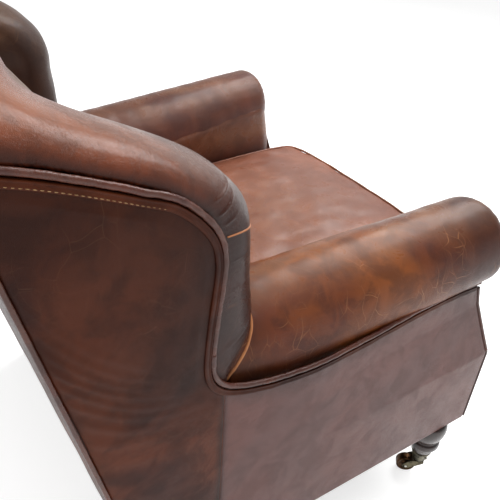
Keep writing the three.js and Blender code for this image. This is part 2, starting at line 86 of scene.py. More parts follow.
class Side(Enum):
    """A side of the chair: the sitter's left is +X."""

    LEFT = 1
    RIGHT = -1

    @property
    def label(self) -> str:
        """The word that names the side in the frame's nodes.

        Returns:
            The word.
        """
        return self.name.lower()


# ------------------------------------------------------------------ arithmetic of shapes


def placed(side: Side, x: np.ndarray, y: np.ndarray, z: np.ndarray) -> np.ndarray:
    """Puts a shape made for the +X side on either side; x grows forwards by the flare.

    Args:
        side: The side to put it on.
        x: Distance from the middle, where the side crosses y = 0.
        y: Depth, counted from the datum plane.
        z: Height.

    Returns:
        The points, with the three coordinates last.
    """
    x, y, z = np.broadcast_arrays(np.asarray(x, float), np.asarray(y, float), np.asarray(z, float))
    return np.stack([side.value * (x - FLARE * y), y + DATUM_Y, z], -1)


def middle(x: np.ndarray, y: np.ndarray, z: np.ndarray) -> np.ndarray:
    """Stacks coordinates of a shape that crosses the middle.

    Args:
        x: Distance from the middle.
        y: Depth, counted from the datum plane.
        z: Height.

    Returns:
        The points, with the three coordinates last.
    """
    x, y, z = np.broadcast_arrays(np.asarray(x, float), np.asarray(y, float), np.asarray(z, float))
    return np.stack([x, y + DATUM_Y, z], -1)


def rear_face(z: np.ndarray) -> np.ndarray:
    """Depth of the back's raked rear face.

    Args:
        z: Height.

    Returns:
        The depth.
    """
    return REAR_Y + RAKE * np.asarray(z)


def facing_y(z: np.ndarray) -> np.ndarray:
    """Depth of the arm's sloping front.

    Args:
        z: Height.

    Returns:
        The depth.
    """
    return FRONT_Y + SLOPE * np.maximum(np.asarray(z) - SLOPE_START, 0)


def lean(y: np.ndarray, z: np.ndarray) -> np.ndarray:
    """How far the outside arm panel leans in under the roll's front end.

    Args:
        y: Depth.
        z: Height.

    Returns:
        The distance, growing forwards and upwards.
    """
    return 0.025 * np.maximum(0, -y) * np.clip((z - SLOPE_START) / 0.110, 0, 1) / 0.400


def arch(across: np.ndarray) -> np.ndarray:
    """Height of the outside back's top: a flat arch.

    Args:
        across: Place across the back, from -1 to 1.

    Returns:
        The height.
    """
    return BACK_CORNER_Z + BACK_ARCH * (1 - np.abs(across) ** 2.2)


def ramp(value: np.ndarray, reach: float) -> np.ndarray:
    """Rises evenly from 0 to 1 and stays there.

    Args:
        value: Where it is read; it starts at nothing.
        reach: Where it is full.

    Returns:
        The ramp's height at each value.
    """
    return np.clip(value / reach, 0, 1)


def falloff(value: np.ndarray, reach: float) -> np.ndarray:
    """Falls evenly from 1 to 0 and stays there.

    Args:
        value: Where it is read; it starts at nothing.
        reach: Where it has gone.

    Returns:
        The height at each value.
    """
    return np.clip(1 - value / reach, 0, 1)


def along(points: np.ndarray, stations: np.ndarray) -> np.ndarray:
    """Catmull-Rom curve through points, read at fractional point numbers.

    Each value is the cubic blend of the four points round its station.

    Args:
        points: Guide points, one a row.
        stations: Where to read the curve, from 0 to the last point's number.

    Returns:
        One point for each station.
    """
    p = np.asarray(points, float)
    p = np.vstack([2 * p[0] - p[1], p, 2 * p[-1] - p[-2]])
    i = np.clip(np.floor(stations).astype(int), 0, len(p) - 4)
    t = (np.asarray(stations) - i)[:, None]
    a, b, c, d = p[i], p[i + 1], p[i + 2], p[i + 3]
    return 0.5 * (2 * b + (c - a) * t + (2 * a - 5 * b + 4 * c - d) * t**2 + (3 * b - a - 3 * c + d) * t**3)


def evenly(points: np.ndarray, count: int) -> np.ndarray:
    """A smooth curve through points, read at equal lengths along it.

    Args:
        points: Guide points, one a row.
        count: How many points to return.

    Returns:
        The evenly spaced points.
    """
    fine = along(points, np.linspace(0, len(points) - 1, 24 * len(points)))
    run = np.concatenate([[0], np.cumsum(np.linalg.norm(np.diff(fine, axis=0), axis=1))])
    reach = np.linspace(0, run[-1], count)
    return np.stack([np.interp(reach, run, fine[:, k]) for k in range(fine.shape[1])], -1)


def ripple(a: np.ndarray, b: np.ndarray, seed: int, count: int = 7) -> np.ndarray:
    """A gentle unevenness between about -1 and 1: a sum of sine waves in seeded directions.

    Args:
        a: First coordinate, in wavelengths.
        b: Second coordinate, in wavelengths.
        seed: Which pattern.
        count: How many waves are added.

    Returns:
        The unevenness at each point.
    """
    rng = np.random.default_rng(seed)
    turn, phase = rng.uniform(0, math.pi, count), rng.uniform(0, 2 * math.pi, count)
    pace = rng.uniform(0.6, 1.8, count)
    total = sum(
        np.sin(2 * math.pi * pace[k] * (a * math.cos(turn[k]) + b * math.sin(turn[k])) + phase[k])
        for k in range(count)
    )
    return total / math.sqrt(2 * count)


def hump(value: np.ndarray, centre: float, width: float) -> np.ndarray:
    """A bell of height 1.

    Args:
        value: Where it is read.
        centre: Its middle.
        width: How far from its middle it has fallen to 1 / e.

    Returns:
        The bell's height at each value.
    """
    return np.exp(-(((value - centre) / width) ** 2))


def around(turn: np.ndarray, centre: float, width: float) -> np.ndarray:
    """A bell of height 1 about a turn, the same at 0 as at a whole turn.

    Args:
        turn: Where it is read, in radians.
        centre: Its middle.
        width: How far from its middle it has fallen to 1 / e.

    Returns:
        The bell's height at each turn.
    """
    gap = np.mod(turn - centre + math.pi, 2 * math.pi) - math.pi
    return np.exp(-((gap / width) ** 2))


def reach_to(points: np.ndarray, route: np.ndarray) -> np.ndarray:
    """Distance from each point to the nearest point of a finely stepped route.

    Args:
        points: Grid of (y, z).
        route: Points of the route, one a row.

    Returns:
        The distances, shaped as the grid.
    """
    flat = points.reshape(-1, 2)
    best = np.full(len(flat), 9.0)
    for block in np.array_split(route, max(1, len(route) // 40)):
        best = np.minimum(best, np.linalg.norm(flat[:, None] - block[None], axis=2).min(1))
    return best.reshape(points.shape[:-1])


# ------------------------------------------------------------------ meshes


def quads(rows: int, columns: int) -> np.ndarray:
    """The faces of a grid of points numbered row by row.

    Args:
        rows: How many rows of points.
        columns: How many points in a row.

    Returns:
        Four point numbers for each face.
    """
    a, b = np.meshgrid(np.arange(rows - 1), np.arange(columns - 1), indexing="ij")
    first = (a * columns + b).ravel()
    return np.stack([first, first + columns, first + columns + 1, first + 1], -1)


def border(rows: int, columns: int) -> np.ndarray:
    """The numbers of a grid's outer points, in order round it.

    Args:
        rows: How many rows of points.
        columns: How many points in a row.

    Returns:
        The point numbers.
    """
    grid = np.arange(rows * columns).reshape(rows, columns)
    return np.concatenate([grid[:, 0], grid[-1, 1:], grid[-2::-1, -1], grid[0, -2:0:-1]])


@dataclass
class Sheet:
    """A grid of points with what its material reads: a flat map in metres and two masks."""

    points: np.ndarray
    edge: Optional[np.ndarray] = None
    wear_and_sheen: Optional[np.ndarray] = None

    def flat_map(self) -> np.ndarray:
        """Lengths along the grid both ways, in metres, so that patterns keep their size.

        Returns:
            Two coordinates for each point.
        """
        p = self.points
        down = np.linalg.norm(np.diff(p, axis=0), axis=2).mean(1)
        across = np.linalg.norm(np.diff(p, axis=1), axis=2).mean(0)
        u, v = np.concatenate([[0], np.cumsum(down)]), np.concatenate([[0], np.cumsum(across)])
        return np.stack(np.meshgrid(u, v, indexing="ij"), -1)

    def mask(self, values: Optional[np.ndarray]) -> np.ndarray:
        """A mask as one number a point.

        Args:
            values: The mask, or None for nothing anywhere.

        Returns:
            The numbers, point by point.
        """
        shape = self.points.shape[:2]
        return np.zeros(shape).ravel() if values is None else np.broadcast_to(values, shape).ravel()


def build(name: str, sheets: Iterable[Sheet], extra: Optional[np.ndarray] = None) -> bpy.types.Object:
    """Makes one closed object from grids whose borders meet, merged and turned outwards.

    Args:
        name: The piece's name.
        sheets: The grids.
        extra: More faces between the grids' points, as point numbers.

    Returns:
        The object, at the origin.
    """
    sheets = list(sheets)
    points = np.concatenate([s.points.reshape(-1, 3) for s in sheets])
    flat = np.concatenate([s.flat_map().reshape(-1, 2) for s in sheets])
    starts = np.cumsum([0] + [s.points.shape[0] * s.points.shape[1] for s in sheets])
    faces = [quads(*s.points.shape[:2]) + start for s, start in zip(sheets, starts)]
    if extra is not None:
        faces.append(extra)
    corners = np.concatenate(faces)
    mesh = bpy.data.meshes.new(name)
    mesh.vertices.add(len(points))
    mesh.vertices.foreach_set("co", points.astype(np.float32).ravel())
    mesh.loops.add(corners.size)
    mesh.loops.foreach_set("vertex_index", corners.astype(np.int32).ravel())
    mesh.polygons.add(len(corners))
    mesh.polygons.foreach_set("loop_start", np.arange(0, corners.size, 4, dtype=np.int32))
    layer = mesh.uv_layers.new(name="UVMap")
    layer.data.foreach_set("uv", flat[corners.ravel()].astype(np.float32).ravel())
    for key in ("edge", "wear_and_sheen"):
        values = np.concatenate([s.mask(getattr(s, key)) for s in sheets]).astype(np.float32)
        mesh.attributes.new(key, "FLOAT", "POINT").data.foreach_set("value", values)
    mesh.update(calc_edges=True)
    return finished(name, mesh)


def finished(name: str, mesh: bpy.types.Mesh, merge: float = 2e-6) -> bpy.types.Object:
    """Merges doubles, turns faces outwards, smooths and links a mesh.

    Args:
        name: The object's name.
        mesh: Its mesh.
        merge: Points closer than this become one.

    Returns:
        The linked object.
    """
    work = bmesh.new()
    work.from_mesh(mesh)
    bmesh.ops.remove_doubles(work, verts=work.verts, dist=merge)
    bmesh.ops.dissolve_degenerate(work, edges=work.edges, dist=1e-7)
    bmesh.ops.recalc_face_normals(work, faces=work.faces)
    work.to_mesh(mesh)
    work.free()
    mesh.polygons.foreach_set("use_smooth", np.ones(len(mesh.polygons), bool))
    piece = bpy.data.objects.new(name, mesh)
    bpy.context.scene.collection.objects.link(piece)
    return piece


def shell(name: str, outer: np.ndarray, inner: np.ndarray, edge: Optional[np.ndarray] = None,
          wear_and_sheen: Optional[np.ndarray] = None) -> bpy.types.Object:
    """A closed skin between an outer and an inner grid, joined all round their borders.

    Args:
        name: The piece's name.
        outer: The grid that shows.
        inner: The grid behind it, of the same shape.
        edge: Mask of how near a seam each point is; on some pieces it also carries painted shade.
        wear_and_sheen: Mask of how rubbed each point is; on the arm roll and the wing it also carries painted
            reflection and highlight.

    Returns:
        The object.
    """
    rows, columns = outer.shape[:2]
    rim = border(rows, columns)
    following = np.roll(rim, -1)
    behind = rows * columns
    walls = np.stack([rim, following, following + behind, rim + behind], -1)
    return build(name, [Sheet(outer, edge, wear_and_sheen), Sheet(inner, edge, wear_and_sheen)], walls)


def frames(path: np.ndarray) -> tuple[np.ndarray, np.ndarray]:
    """Two directions square to a path at each point, the first as near sideways as it can be.

    Args:
        path: Points along the path.

    Returns:
        Sideways and upward unit vectors.
    """
    run = np.gradient(path, axis=0)
    run /= np.linalg.norm(run, axis=1, keepdims=True)
    side = np.array([1.0, 0.0, 0.0]) - run * run[:, :1]
    weak = np.linalg.norm(side, axis=1) < 0.3
    side[weak] = np.array([0.0, 0.0, 1.0]) - run[weak] * run[weak][:, 2:]
    side /= np.linalg.norm(side, axis=1, keepdims=True)
    return side, np.cross(run, side)


def swept(path: np.ndarray, section: np.ndarray, swell: Optional[np.ndarray] = None) -> np.ndarray:
    """Carries a closed section along a path and closes both ends on the path.

    Each point is the path's point plus the section's two coordinates along the path's frame.

    Args:
        path: Points along the path.
        section: Closed outline in metres, its last point the same as its first.
        swell: Factor on the section at each path point.

    Returns:
        The grid of points.
    """
    side, up = frames(path)
    size = np.ones(len(path)) if swell is None else swell
    body = path[:, None] + size[:, None, None] * (
        section[None, :, :1] * side[:, None] + section[None, :, 1:] * up[:, None]
    )
    ends = [np.repeat(path[k][None, None], len(section), 1) for k in (0, -1)]
    return np.concatenate([ends[0], body, ends[1]])


def ring(radius: float, count: int = 14, tall: float = 1.0) -> np.ndarray:
    """A closed round section.

    Args:
        radius: Its radius sideways.
        count: How many steps round.
        tall: Its height over its width.

    Returns:
        The outline, its last point the same as its first.
    """
    turn = np.linspace(0, 2 * math.pi, count + 1)
    return np.stack([radius * np.cos(turn), radius * tall * np.sin(turn)], -1)


def welt(name: str, path: np.ndarray, radius: float, seed: int, tall: float = 1.0) -> bpy.types.Object:
    """A piping cord: a round section along a path, with slight swellings where the leather gathers.

    Args:
        name: The piece's name.
        path: Points along it.
        radius: Radius of the covered cord.
        seed: Which pattern of swellings.
        tall: Height of the section over its width.

    Returns:
        The object.
    """
    place = np.linspace(0, len(path) / 9, len(path))
    swell = 1 + 0.05 * ripple(place, place * 0, seed)
    points = swept(path, ring(radius, 14, tall), swell)
    wear_and_sheen = 0.5 + 0.5 * ripple(np.linspace(0, len(path) / 40, len(points)), 0.0, seed + 5)
    return build(name, [Sheet(points, None, np.clip(wear_and_sheen, 0, 1)[:, None])])


def stitches(name: str, path: np.ndarray, normal: np.ndarray, pitch: float, size: float) -> bpy.types.Object:
    """A row of separate stitches: a small rounded capsule on each step of a path.

    Each is a six-sided tube whose radius follows a half ellipse from end to end.

    Args:
        name: The piece's name.
        path: Fine points along the seam.
        normal: Outward direction of the leather at each point.
        pitch: Distance from one stitch to the next.
        size: Thickness of the thread.

    Returns:
        The object.
    """
    run = np.concatenate([[0], np.cumsum(np.linalg.norm(np.diff(path, axis=0), axis=1))])
    at = np.arange(pitch, run[-1] - pitch, pitch)
    centre = np.stack([np.interp(at, run, path[:, k]) for k in range(3)], -1)
    out = np.stack([np.interp(at, run, normal[:, k]) for k in range(3)], -1)
    heading = np.gradient(centre, axis=0)
    heading /= np.linalg.norm(heading, axis=1, keepdims=True)
    across = np.cross(heading, out)
    across /= np.linalg.norm(across, axis=1, keepdims=True)
    steps, sides = 5, 6
    t = np.linspace(-1, 1, steps)
    turn = np.linspace(0, 2 * math.pi, sides + 1)
    girth = size * 0.5 * np.sqrt(np.clip(1 - 0.98 * t**2, 0, 1)) * np.array([0, 1, 1, 1, 0])
    grid = (
        centre[:, None, None]
        + (0.36 * pitch * t)[None, :, None, None] * heading[:, None, None]
        + (girth[:, None] * np.cos(turn))[None, :, :, None] * across[:, None, None]
        + (girth[:, None] * np.sin(turn))[None, :, :, None] * out[:, None, None]
    )
    count = steps * (sides + 1)
    faces = (quads(steps, sides + 1)[None] + (np.arange(len(at)) * count)[:, None, None]).reshape(-1, 4)
    mesh = bpy.data.meshes.new(name)
    mesh.from_pydata(grid.reshape(-1, 3).tolist(), [], faces.tolist())
    return finished(name, mesh)


def turned(name: str, profile: Line, axis: tuple[float, float], segments: int = 56) -> bpy.types.Object:
    """A turned piece: a profile of (radius, height) spun about an upright line.

    Args:
        name: The piece's name.
        profile: Points from the top to the bottom, both on the axis.
        axis: Where the upright line stands, in the shared frame.
        segments: How many steps round.

    Returns:
        The object.
    """
    line = np.asarray(profile)
    turn = np.linspace(0, 2 * math.pi, segments + 1)
    x = axis[0] + line[:, :1] * np.cos(turn)
    y = axis[1] + line[:, :1] * np.sin(turn)
    return build(name, [Sheet(np.stack([x, y, np.broadcast_to(line[:, 1:], x.shape)], -1))])


# ------------------------------------------------------------------ node groups


Socket = bpy.types.NodeSocket


class Graph:
    """Short words for making and joining shader nodes in one tree."""

    def __init__(self, tree: bpy.types.NodeTree) -> None:
        """Starts with no nodes.

        Args:
            tree: The tree to build in.
        """
        self.tree = tree
        self.count = 0

    def node(self, kind: str, inputs: Optional[dict] = None, **settings: object) -> bpy.types.Node:
        """Adds a node, sets its properties and joins or sets its inputs.

        Args:
            kind: The node's type, without the ShaderNode prefix.
            inputs: Sockets by name or number, each a socket to join or a value.
            **settings: Properties of the node.

        Returns:
            The node.
        """
        made = self.tree.nodes.new("ShaderNode" + kind)
        made.location = (220 * (self.count % 12), -200 * (self.count // 12))
        self.count += 1
        for key, value in settings.items():
            setattr(made, key, value)
        for key, value in (inputs or {}).items():
            if isinstance(value, bpy.types.NodeSocket):
                self.tree.links.new(value, made.inputs[key])
            else:
                made.inputs[key].default_value = value
        return made

    def math(self, operation: str, a: object, b: object = 0.0, clamp: bool = False) -> Socket:
        """One step of arithmetic on two numbers.

        Args:
            operation: The Math node's operation.
            a: First number or socket.
            b: Second number or socket.
            clamp: Whether the result is held between 0 and 1.

        Returns:
            The result.
        """
        return self.node("Math", {0: a, 1: b}, operation=operation, use_clamp=clamp).outputs[0]

    def mix(self, factor: object, a: object, b: object, how: str = "MIX") -> Socket:
        """Blends two colours.

        Args:
            factor: How far it goes from the first to the second.
            a: First colour or socket.
            b: Second colour or socket.
            how: The way they are blended.

        Returns:
            The blended colour.
        """
        made = self.node("Mix", {}, data_type="RGBA", blend_type=how)
        for socket, value in ((0, factor), (6, a), (7, b)):
            if isinstance(value, bpy.types.NodeSocket):
                self.tree.links.new(value, made.inputs[socket])
            else:
                made.inputs[socket].default_value = value
        return made.outputs[2]

    def span(self, value: Socket, low: float, high: float, start: float = 0.0, end: float = 1.0) -> Socket:
        """Spreads a value smoothly from one range to another, held at both ends.

        Args:
            value: The value.
            low: Where its range starts.
            high: Where its range ends.
            start: What the low end becomes.
            end: What the high end becomes.

        Returns:
            The new value.
        """
        return self.node(
            "MapRange", {"Value": value, 1: low, 2: high, 3: start, 4: end}, interpolation_type="SMOOTHSTEP"
        ).outputs[0]

    def noise(self, where: Socket, scale: float, detail: float = 4.0, rough: float = 0.55,
              warp: float = 0.0) -> Socket:
        """Cloudy noise about one half.

        Args:
            where: Coordinates.
            scale: How fine it is.
            detail: How many finer layers it has.
            rough: How strong those are.
            warp: How far it is distorted.

        Returns:
            The noise.
        """
        settings = {"Vector": where, "Scale": scale, "Detail": detail, "Roughness": rough, "Distortion": warp}
        return self.node("TexNoise", settings).outputs[0]


def group(name: str, inputs: Sequence[tuple[str, str, object]], outputs: Sequence[tuple[str, str]],
          make: Callable[[Graph, bpy.types.Node], dict[str, Socket]]) -> bpy.types.NodeTree:
    """Builds a shader node group with named inputs and outputs.

    Args:
        name: The group's name.
        inputs: Name, kind of socket and starting value of each input.
        outputs: Name and kind of socket of each output.
        make: Builds the inside from the input node and returns what each output takes.

    Returns:
        The group.
    """
    tree = bpy.data.node_groups.new(name, "ShaderNodeTree")
    for label, kind, value in inputs:
        socket = tree.interface.new_socket(label, in_out="INPUT", socket_type="NodeSocket" + kind)
        if value is not None:
            socket.default_value = value
    for label, kind in outputs:
        tree.interface.new_socket(label, in_out="OUTPUT", socket_type="NodeSocket" + kind)
    graph = Graph(tree)
    source, sink = tree.nodes.new("NodeGroupInput"), tree.nodes.new("NodeGroupOutput")
    for label, socket in make(graph, source).items():
        tree.links.new(socket, sink.inputs[label])
    return tree


def grain_inside(g: Graph, source: bpy.types.Node) -> dict[str, Socket]:
    """Leather grain: small cells with furrows between them, over long soft creases.

    The height is the cell texture's distance to its border, plus thin lines where two warped
    noises cross their middle value, plus a slow swelling.

    Args:
        g: The group's graph.
        source: Its input node.

    Returns:
        Height and crease mask.
    """
    where, scale = source.outputs["Vector"], source.outputs["Scale"]
    cells = g.node("TexVoronoi", {"Vector": where, "Scale": scale}, feature="DISTANCE_TO_EDGE").outputs[0]
    furrow = g.span(cells, 0.0, 0.12)
    wide = g.node("Mapping", {"Vector": where, "Scale": (1.0, 1.0, 1.7)}).outputs[0]
    fold = g.math("ABSOLUTE", g.math("SUBTRACT", g.noise(wide, 21.0, 5.0, 0.62, 1.4), 0.5))
    line = g.span(fold, 0.0, 0.014, 1.0, 0.0)
    sparse = g.span(g.noise(where, 7.0, 2.0), 0.52, 0.66)
    crease = g.math("MULTIPLY", line, sparse)
    slow = g.math("MULTIPLY", g.noise(where, 34.0, 3.0), 0.9)
    soft = g.math("SUBTRACT", slow, g.math("MULTIPLY", crease, 0.5))
    height = g.math("ADD", g.math("MULTIPLY", furrow, 0.18), soft)
    return {"Height": height, "Crease": crease}


def tone_inside(g: Graph, source: bpy.types.Node) -> dict[str, Socket]:
    """Uneven dye: broad clouds, finer blotches and dark specks, each a mask from 0 to 1.

    Args:
        g: The group's graph.
        source: Its input node.

    Returns:
        The masks.
    """
    where = source.outputs["Vector"]
    broad = g.span(g.noise(where, 5.5, 3.0, 0.5, 0.8), 0.36, 0.66)
    blotch = g.span(g.noise(where, 26.0, 5.0, 0.62, 0.5), 0.38, 0.66)
    fleck = g.span(g.noise(where, 180.0, 2.0), 0.62, 0.74)
    return {"Broad": broad, "Blotch": blotch, "Fleck": fleck}


def scratch_inside(g: Graph, source: bpy.types.Node) -> dict[str, Socket]:
    """Fine scratches: the borders of stretched, warped cells, kept only in sparse patches.

    Args:
        g: The group's graph.
        source: Its input node.

    Returns:
        The mask.
    """
    where = source.outputs["Vector"]
    cloud = g.node("TexNoise", {"Vector": where, "Scale": 9.0, "Detail": 2.0}).outputs[1]
    bend = g.node("VectorMath", {0: cloud, "Scale": 0.09}, operation="SCALE").outputs[0]
    moved = g.node("VectorMath", {0: where, 1: bend}, operation="ADD").outputs[0]
    total: Optional[Socket] = None
    for turn, stretch, scale, thin in (
        (0.5, 0.35, 33.0, 0.011), (-0.9, 0.25, 47.0, 0.012),
        (1.7, 0.40, 25.0, 0.008), (2.6, 0.30, 60.0, 0.013),
    ):
        view = g.node("Mapping", {"Vector": moved, "Rotation": (turn, 0.4 * turn, turn),
                                  "Scale": (stretch, 1.0, 0.7)}).outputs[0]
        cell = g.node("TexVoronoi", {"Vector": view, "Scale": scale}, feature="DISTANCE_TO_EDGE")
        line = g.span(cell.outputs[0], 0.0, thin, 1.0, 0.0)
        patch = g.span(g.noise(view, 14.0, 2.0), 0.53, 0.66)
        kept = g.math("MULTIPLY", line, patch)
        total = kept if total is None else g.math("MAXIMUM", total, kept)
    return {"Mask": g.math("MULTIPLY", total, source.outputs["Amount"], clamp=True)}


def segment_inside(g: Graph, source: bpy.types.Node) -> dict[str, Socket]:
    """One scratch: how near a point lies to the straight line between two places.

    The nearest place is the start plus the line times the held share of the way along it.

    Args:
        g: The group's graph.
        source: Its input node.

    Returns:
        The mask.
    """
    start, end = source.outputs["Start"], source.outputs["End"]
    way = g.node("VectorMath", {0: end, 1: start}, operation="SUBTRACT").outputs[0]
    off = g.node("VectorMath", {0: source.outputs["Vector"], 1: start}, operation="SUBTRACT").outputs[0]
    along_it = g.node("VectorMath", {0: off, 1: way}, operation="DOT_PRODUCT").outputs[1]
    length = g.node("VectorMath", {0: way, 1: way}, operation="DOT_PRODUCT").outputs[1]
    share = g.math("DIVIDE", along_it, length, clamp=True)
    nearest = g.node("VectorMath", {0: way, "Scale": share}, operation="SCALE").outputs[0]
    gap = g.node("VectorMath", {0: off, 1: nearest}, operation="DISTANCE").outputs[1]
    return {"Mask": g.span(gap, 0.0003, 0.0014, 1.0, 0.0)}


def wood_inside(g: Graph, source: bpy.types.Node) -> dict[str, Socket]:
    """Wood: long streaks from noise stretched along one axis, with fine pores.

    Args:
        g: The group's graph.
        source: Its input node.

    Returns:
        Streak and pore masks.
    """
    where, stretch = source.outputs["Vector"], source.outputs["Stretch"]
    stretched = g.node("Mapping", {"Vector": where, "Scale": stretch}).outputs[0]
    streak = g.span(g.noise(stretched, 60.0, 5.0, 0.6, 0.6), 0.35, 0.68)
    pore = g.span(g.noise(stretched, 320.0, 2.0), 0.58, 0.7)
    return {"Streak": streak, "Pore": pore}


def weave_inside(g: Graph, source: bpy.types.Node) -> dict[str, Socket]:
    """Plain weave: two sets of crossing threads, each a sine wave, over and under in turn.

    Args:
        g: The group's graph.
        source: Its input node.

    Returns:
        Height and gap mask.
    """
    parts = g.node("SeparateXYZ", {0: source.outputs["Vector"]}).outputs
    scale = source.outputs["Threads"]
    warp = g.math("SINE", g.math("MULTIPLY", parts[0], scale))
    weft = g.math("SINE", g.math("MULTIPLY", g.math("ADD", parts[1], parts[2]), scale))
    height = g.math("ADD", g.math("MULTIPLY", warp, 0.5), g.math("MULTIPLY", weft, 0.5))
    return {"Height": height, "Gap": g.span(height, -0.7, -0.2, 1.0, 0.0)}


def rub_inside(g: Graph, source: bpy.types.Node) -> dict[str, Socket]:
    """Handled metal: tarnish in clouds, fine marks, and brightness where it is rubbed.

    Args:
        g: The group's graph.
        source: Its input node.

    Returns:
        Tarnish, mark and height.
    """
    where = source.outputs["Vector"]
    tarnish = g.span(g.noise(where, 70.0, 5.0, 0.65), 0.38, 0.68)
    thin = g.node("Mapping", {"Vector": where, "Scale": (1.0, 1.0, 9.0)}).outputs[0]
    mark = g.span(g.noise(thin, 420.0, 2.0), 0.6, 0.72)
    return {"Tarnish": tarnish, "Mark": mark, "Height": g.noise(where, 260.0, 3.0)}


class Effects:
    """The node groups that the finishes share."""

    def __init__(self) -> None:
        """Builds every group once."""
        vector, value = ("Vector", "Vector", None), "Float"

        def masks(*names: str) -> list[tuple[str, str]]:
            """Outputs of one number each.

            Args:
                *names: Their names.

            Returns:
                Name and kind of each.
            """
            return [(name, value) for name in names]

        self.grain = group("LeatherGrain", [vector, ("Scale", value, 700.0)],
                           masks("Height", "Crease"), grain_inside)
        self.tone = group("UnevenDye", [vector], masks("Broad", "Blotch", "Fleck"), tone_inside)
        self.scratch = group("FineScratches", [vector, ("Amount", value, 1.0)], masks("Mask"), scratch_inside)
        self.segment = group("OneScratch", [vector, ("Start", "Vector", None), ("End", "Vector", None)],
                             masks("Mask"), segment_inside)
        self.wood = group("WoodFigure", [vector, ("Stretch", "Vector", (1.0, 1.0, 1.0))],
                          masks("Streak", "Pore"), wood_inside)
        self.weave = group("PlainWeave", [vector, ("Threads", value, 1500.0)],
                           masks("Height", "Gap"), weave_inside)
        self.rub = group("HandledMetal", [vector], masks("Tarnish", "Mark", "Height"), rub_inside)


# ------------------------------------------------------------------ finishes


def tint(code: str) -> tuple[float, float, float, float]:
    """A colour written as six hex digits, made linear.

    Args:
        code: The digits.

    Returns:
        Red, green, blue and alpha.
    """
    raw = [int(code[k:k + 2], 16) / 255 for k in (0, 2, 4)]
    return (*[c / 12.92 if c <= 0.04045 else ((c + 0.055) / 1.055) ** 2.4 for c in raw], 1.0)


def started(name: str, specular: float = 0.5, coat: float = 0.0, coat_rough: float = 0.2,
            metal: float = 0.0) -> tuple[bpy.types.Material, Graph, bpy.types.Node, Socket]:
    """Starts a material: its shader with constants set, and Object coordinates.

    Args:
        name: The material's name.
        specular: Specular level.
        coat: Weight of a clear coat.
        coat_rough: Roughness of the coat.
        metal: Metallic.

    Returns:
        The material, its graph, the shader node and the coordinates.
    """
    material = bpy.data.materials.new(name)
    material.use_nodes = True
    material.node_tree.nodes.clear()
    g = Graph(material.node_tree)
    shader = g.node("BsdfPrincipled", {"Metallic": metal, "Specular IOR Level": specular, "Coat Weight": coat,
                                       "Coat Roughness": coat_rough})
    g.node("OutputMaterial", {"Surface": shader.outputs[0]})
    where = g.node("TexCoord").outputs["Object"]
    return material, g, shader, where


def surfaced(g: Graph, shader: bpy.types.Node, colour: Socket, gloss: Socket, height: Socket,
             strength: float, distance: float) -> None:
    """Joins a finish's colour, roughness and relief to its shader.

    Args:
        g: The material's graph.
        shader: Its shader node.
        colour: Base colour.
        gloss: Roughness.
        height: Height of the relief.
        strength: How strongly the relief shows.
        distance: How deep it is, in metres.
    """
    bump = g.node("Bump", {"Strength": strength, "Distance": distance, "Height": height})
    for key, socket in (("Base Color", colour), ("Roughness", gloss), ("Normal", bump.outputs[0])):
        g.tree.links.new(socket, shader.inputs[key])


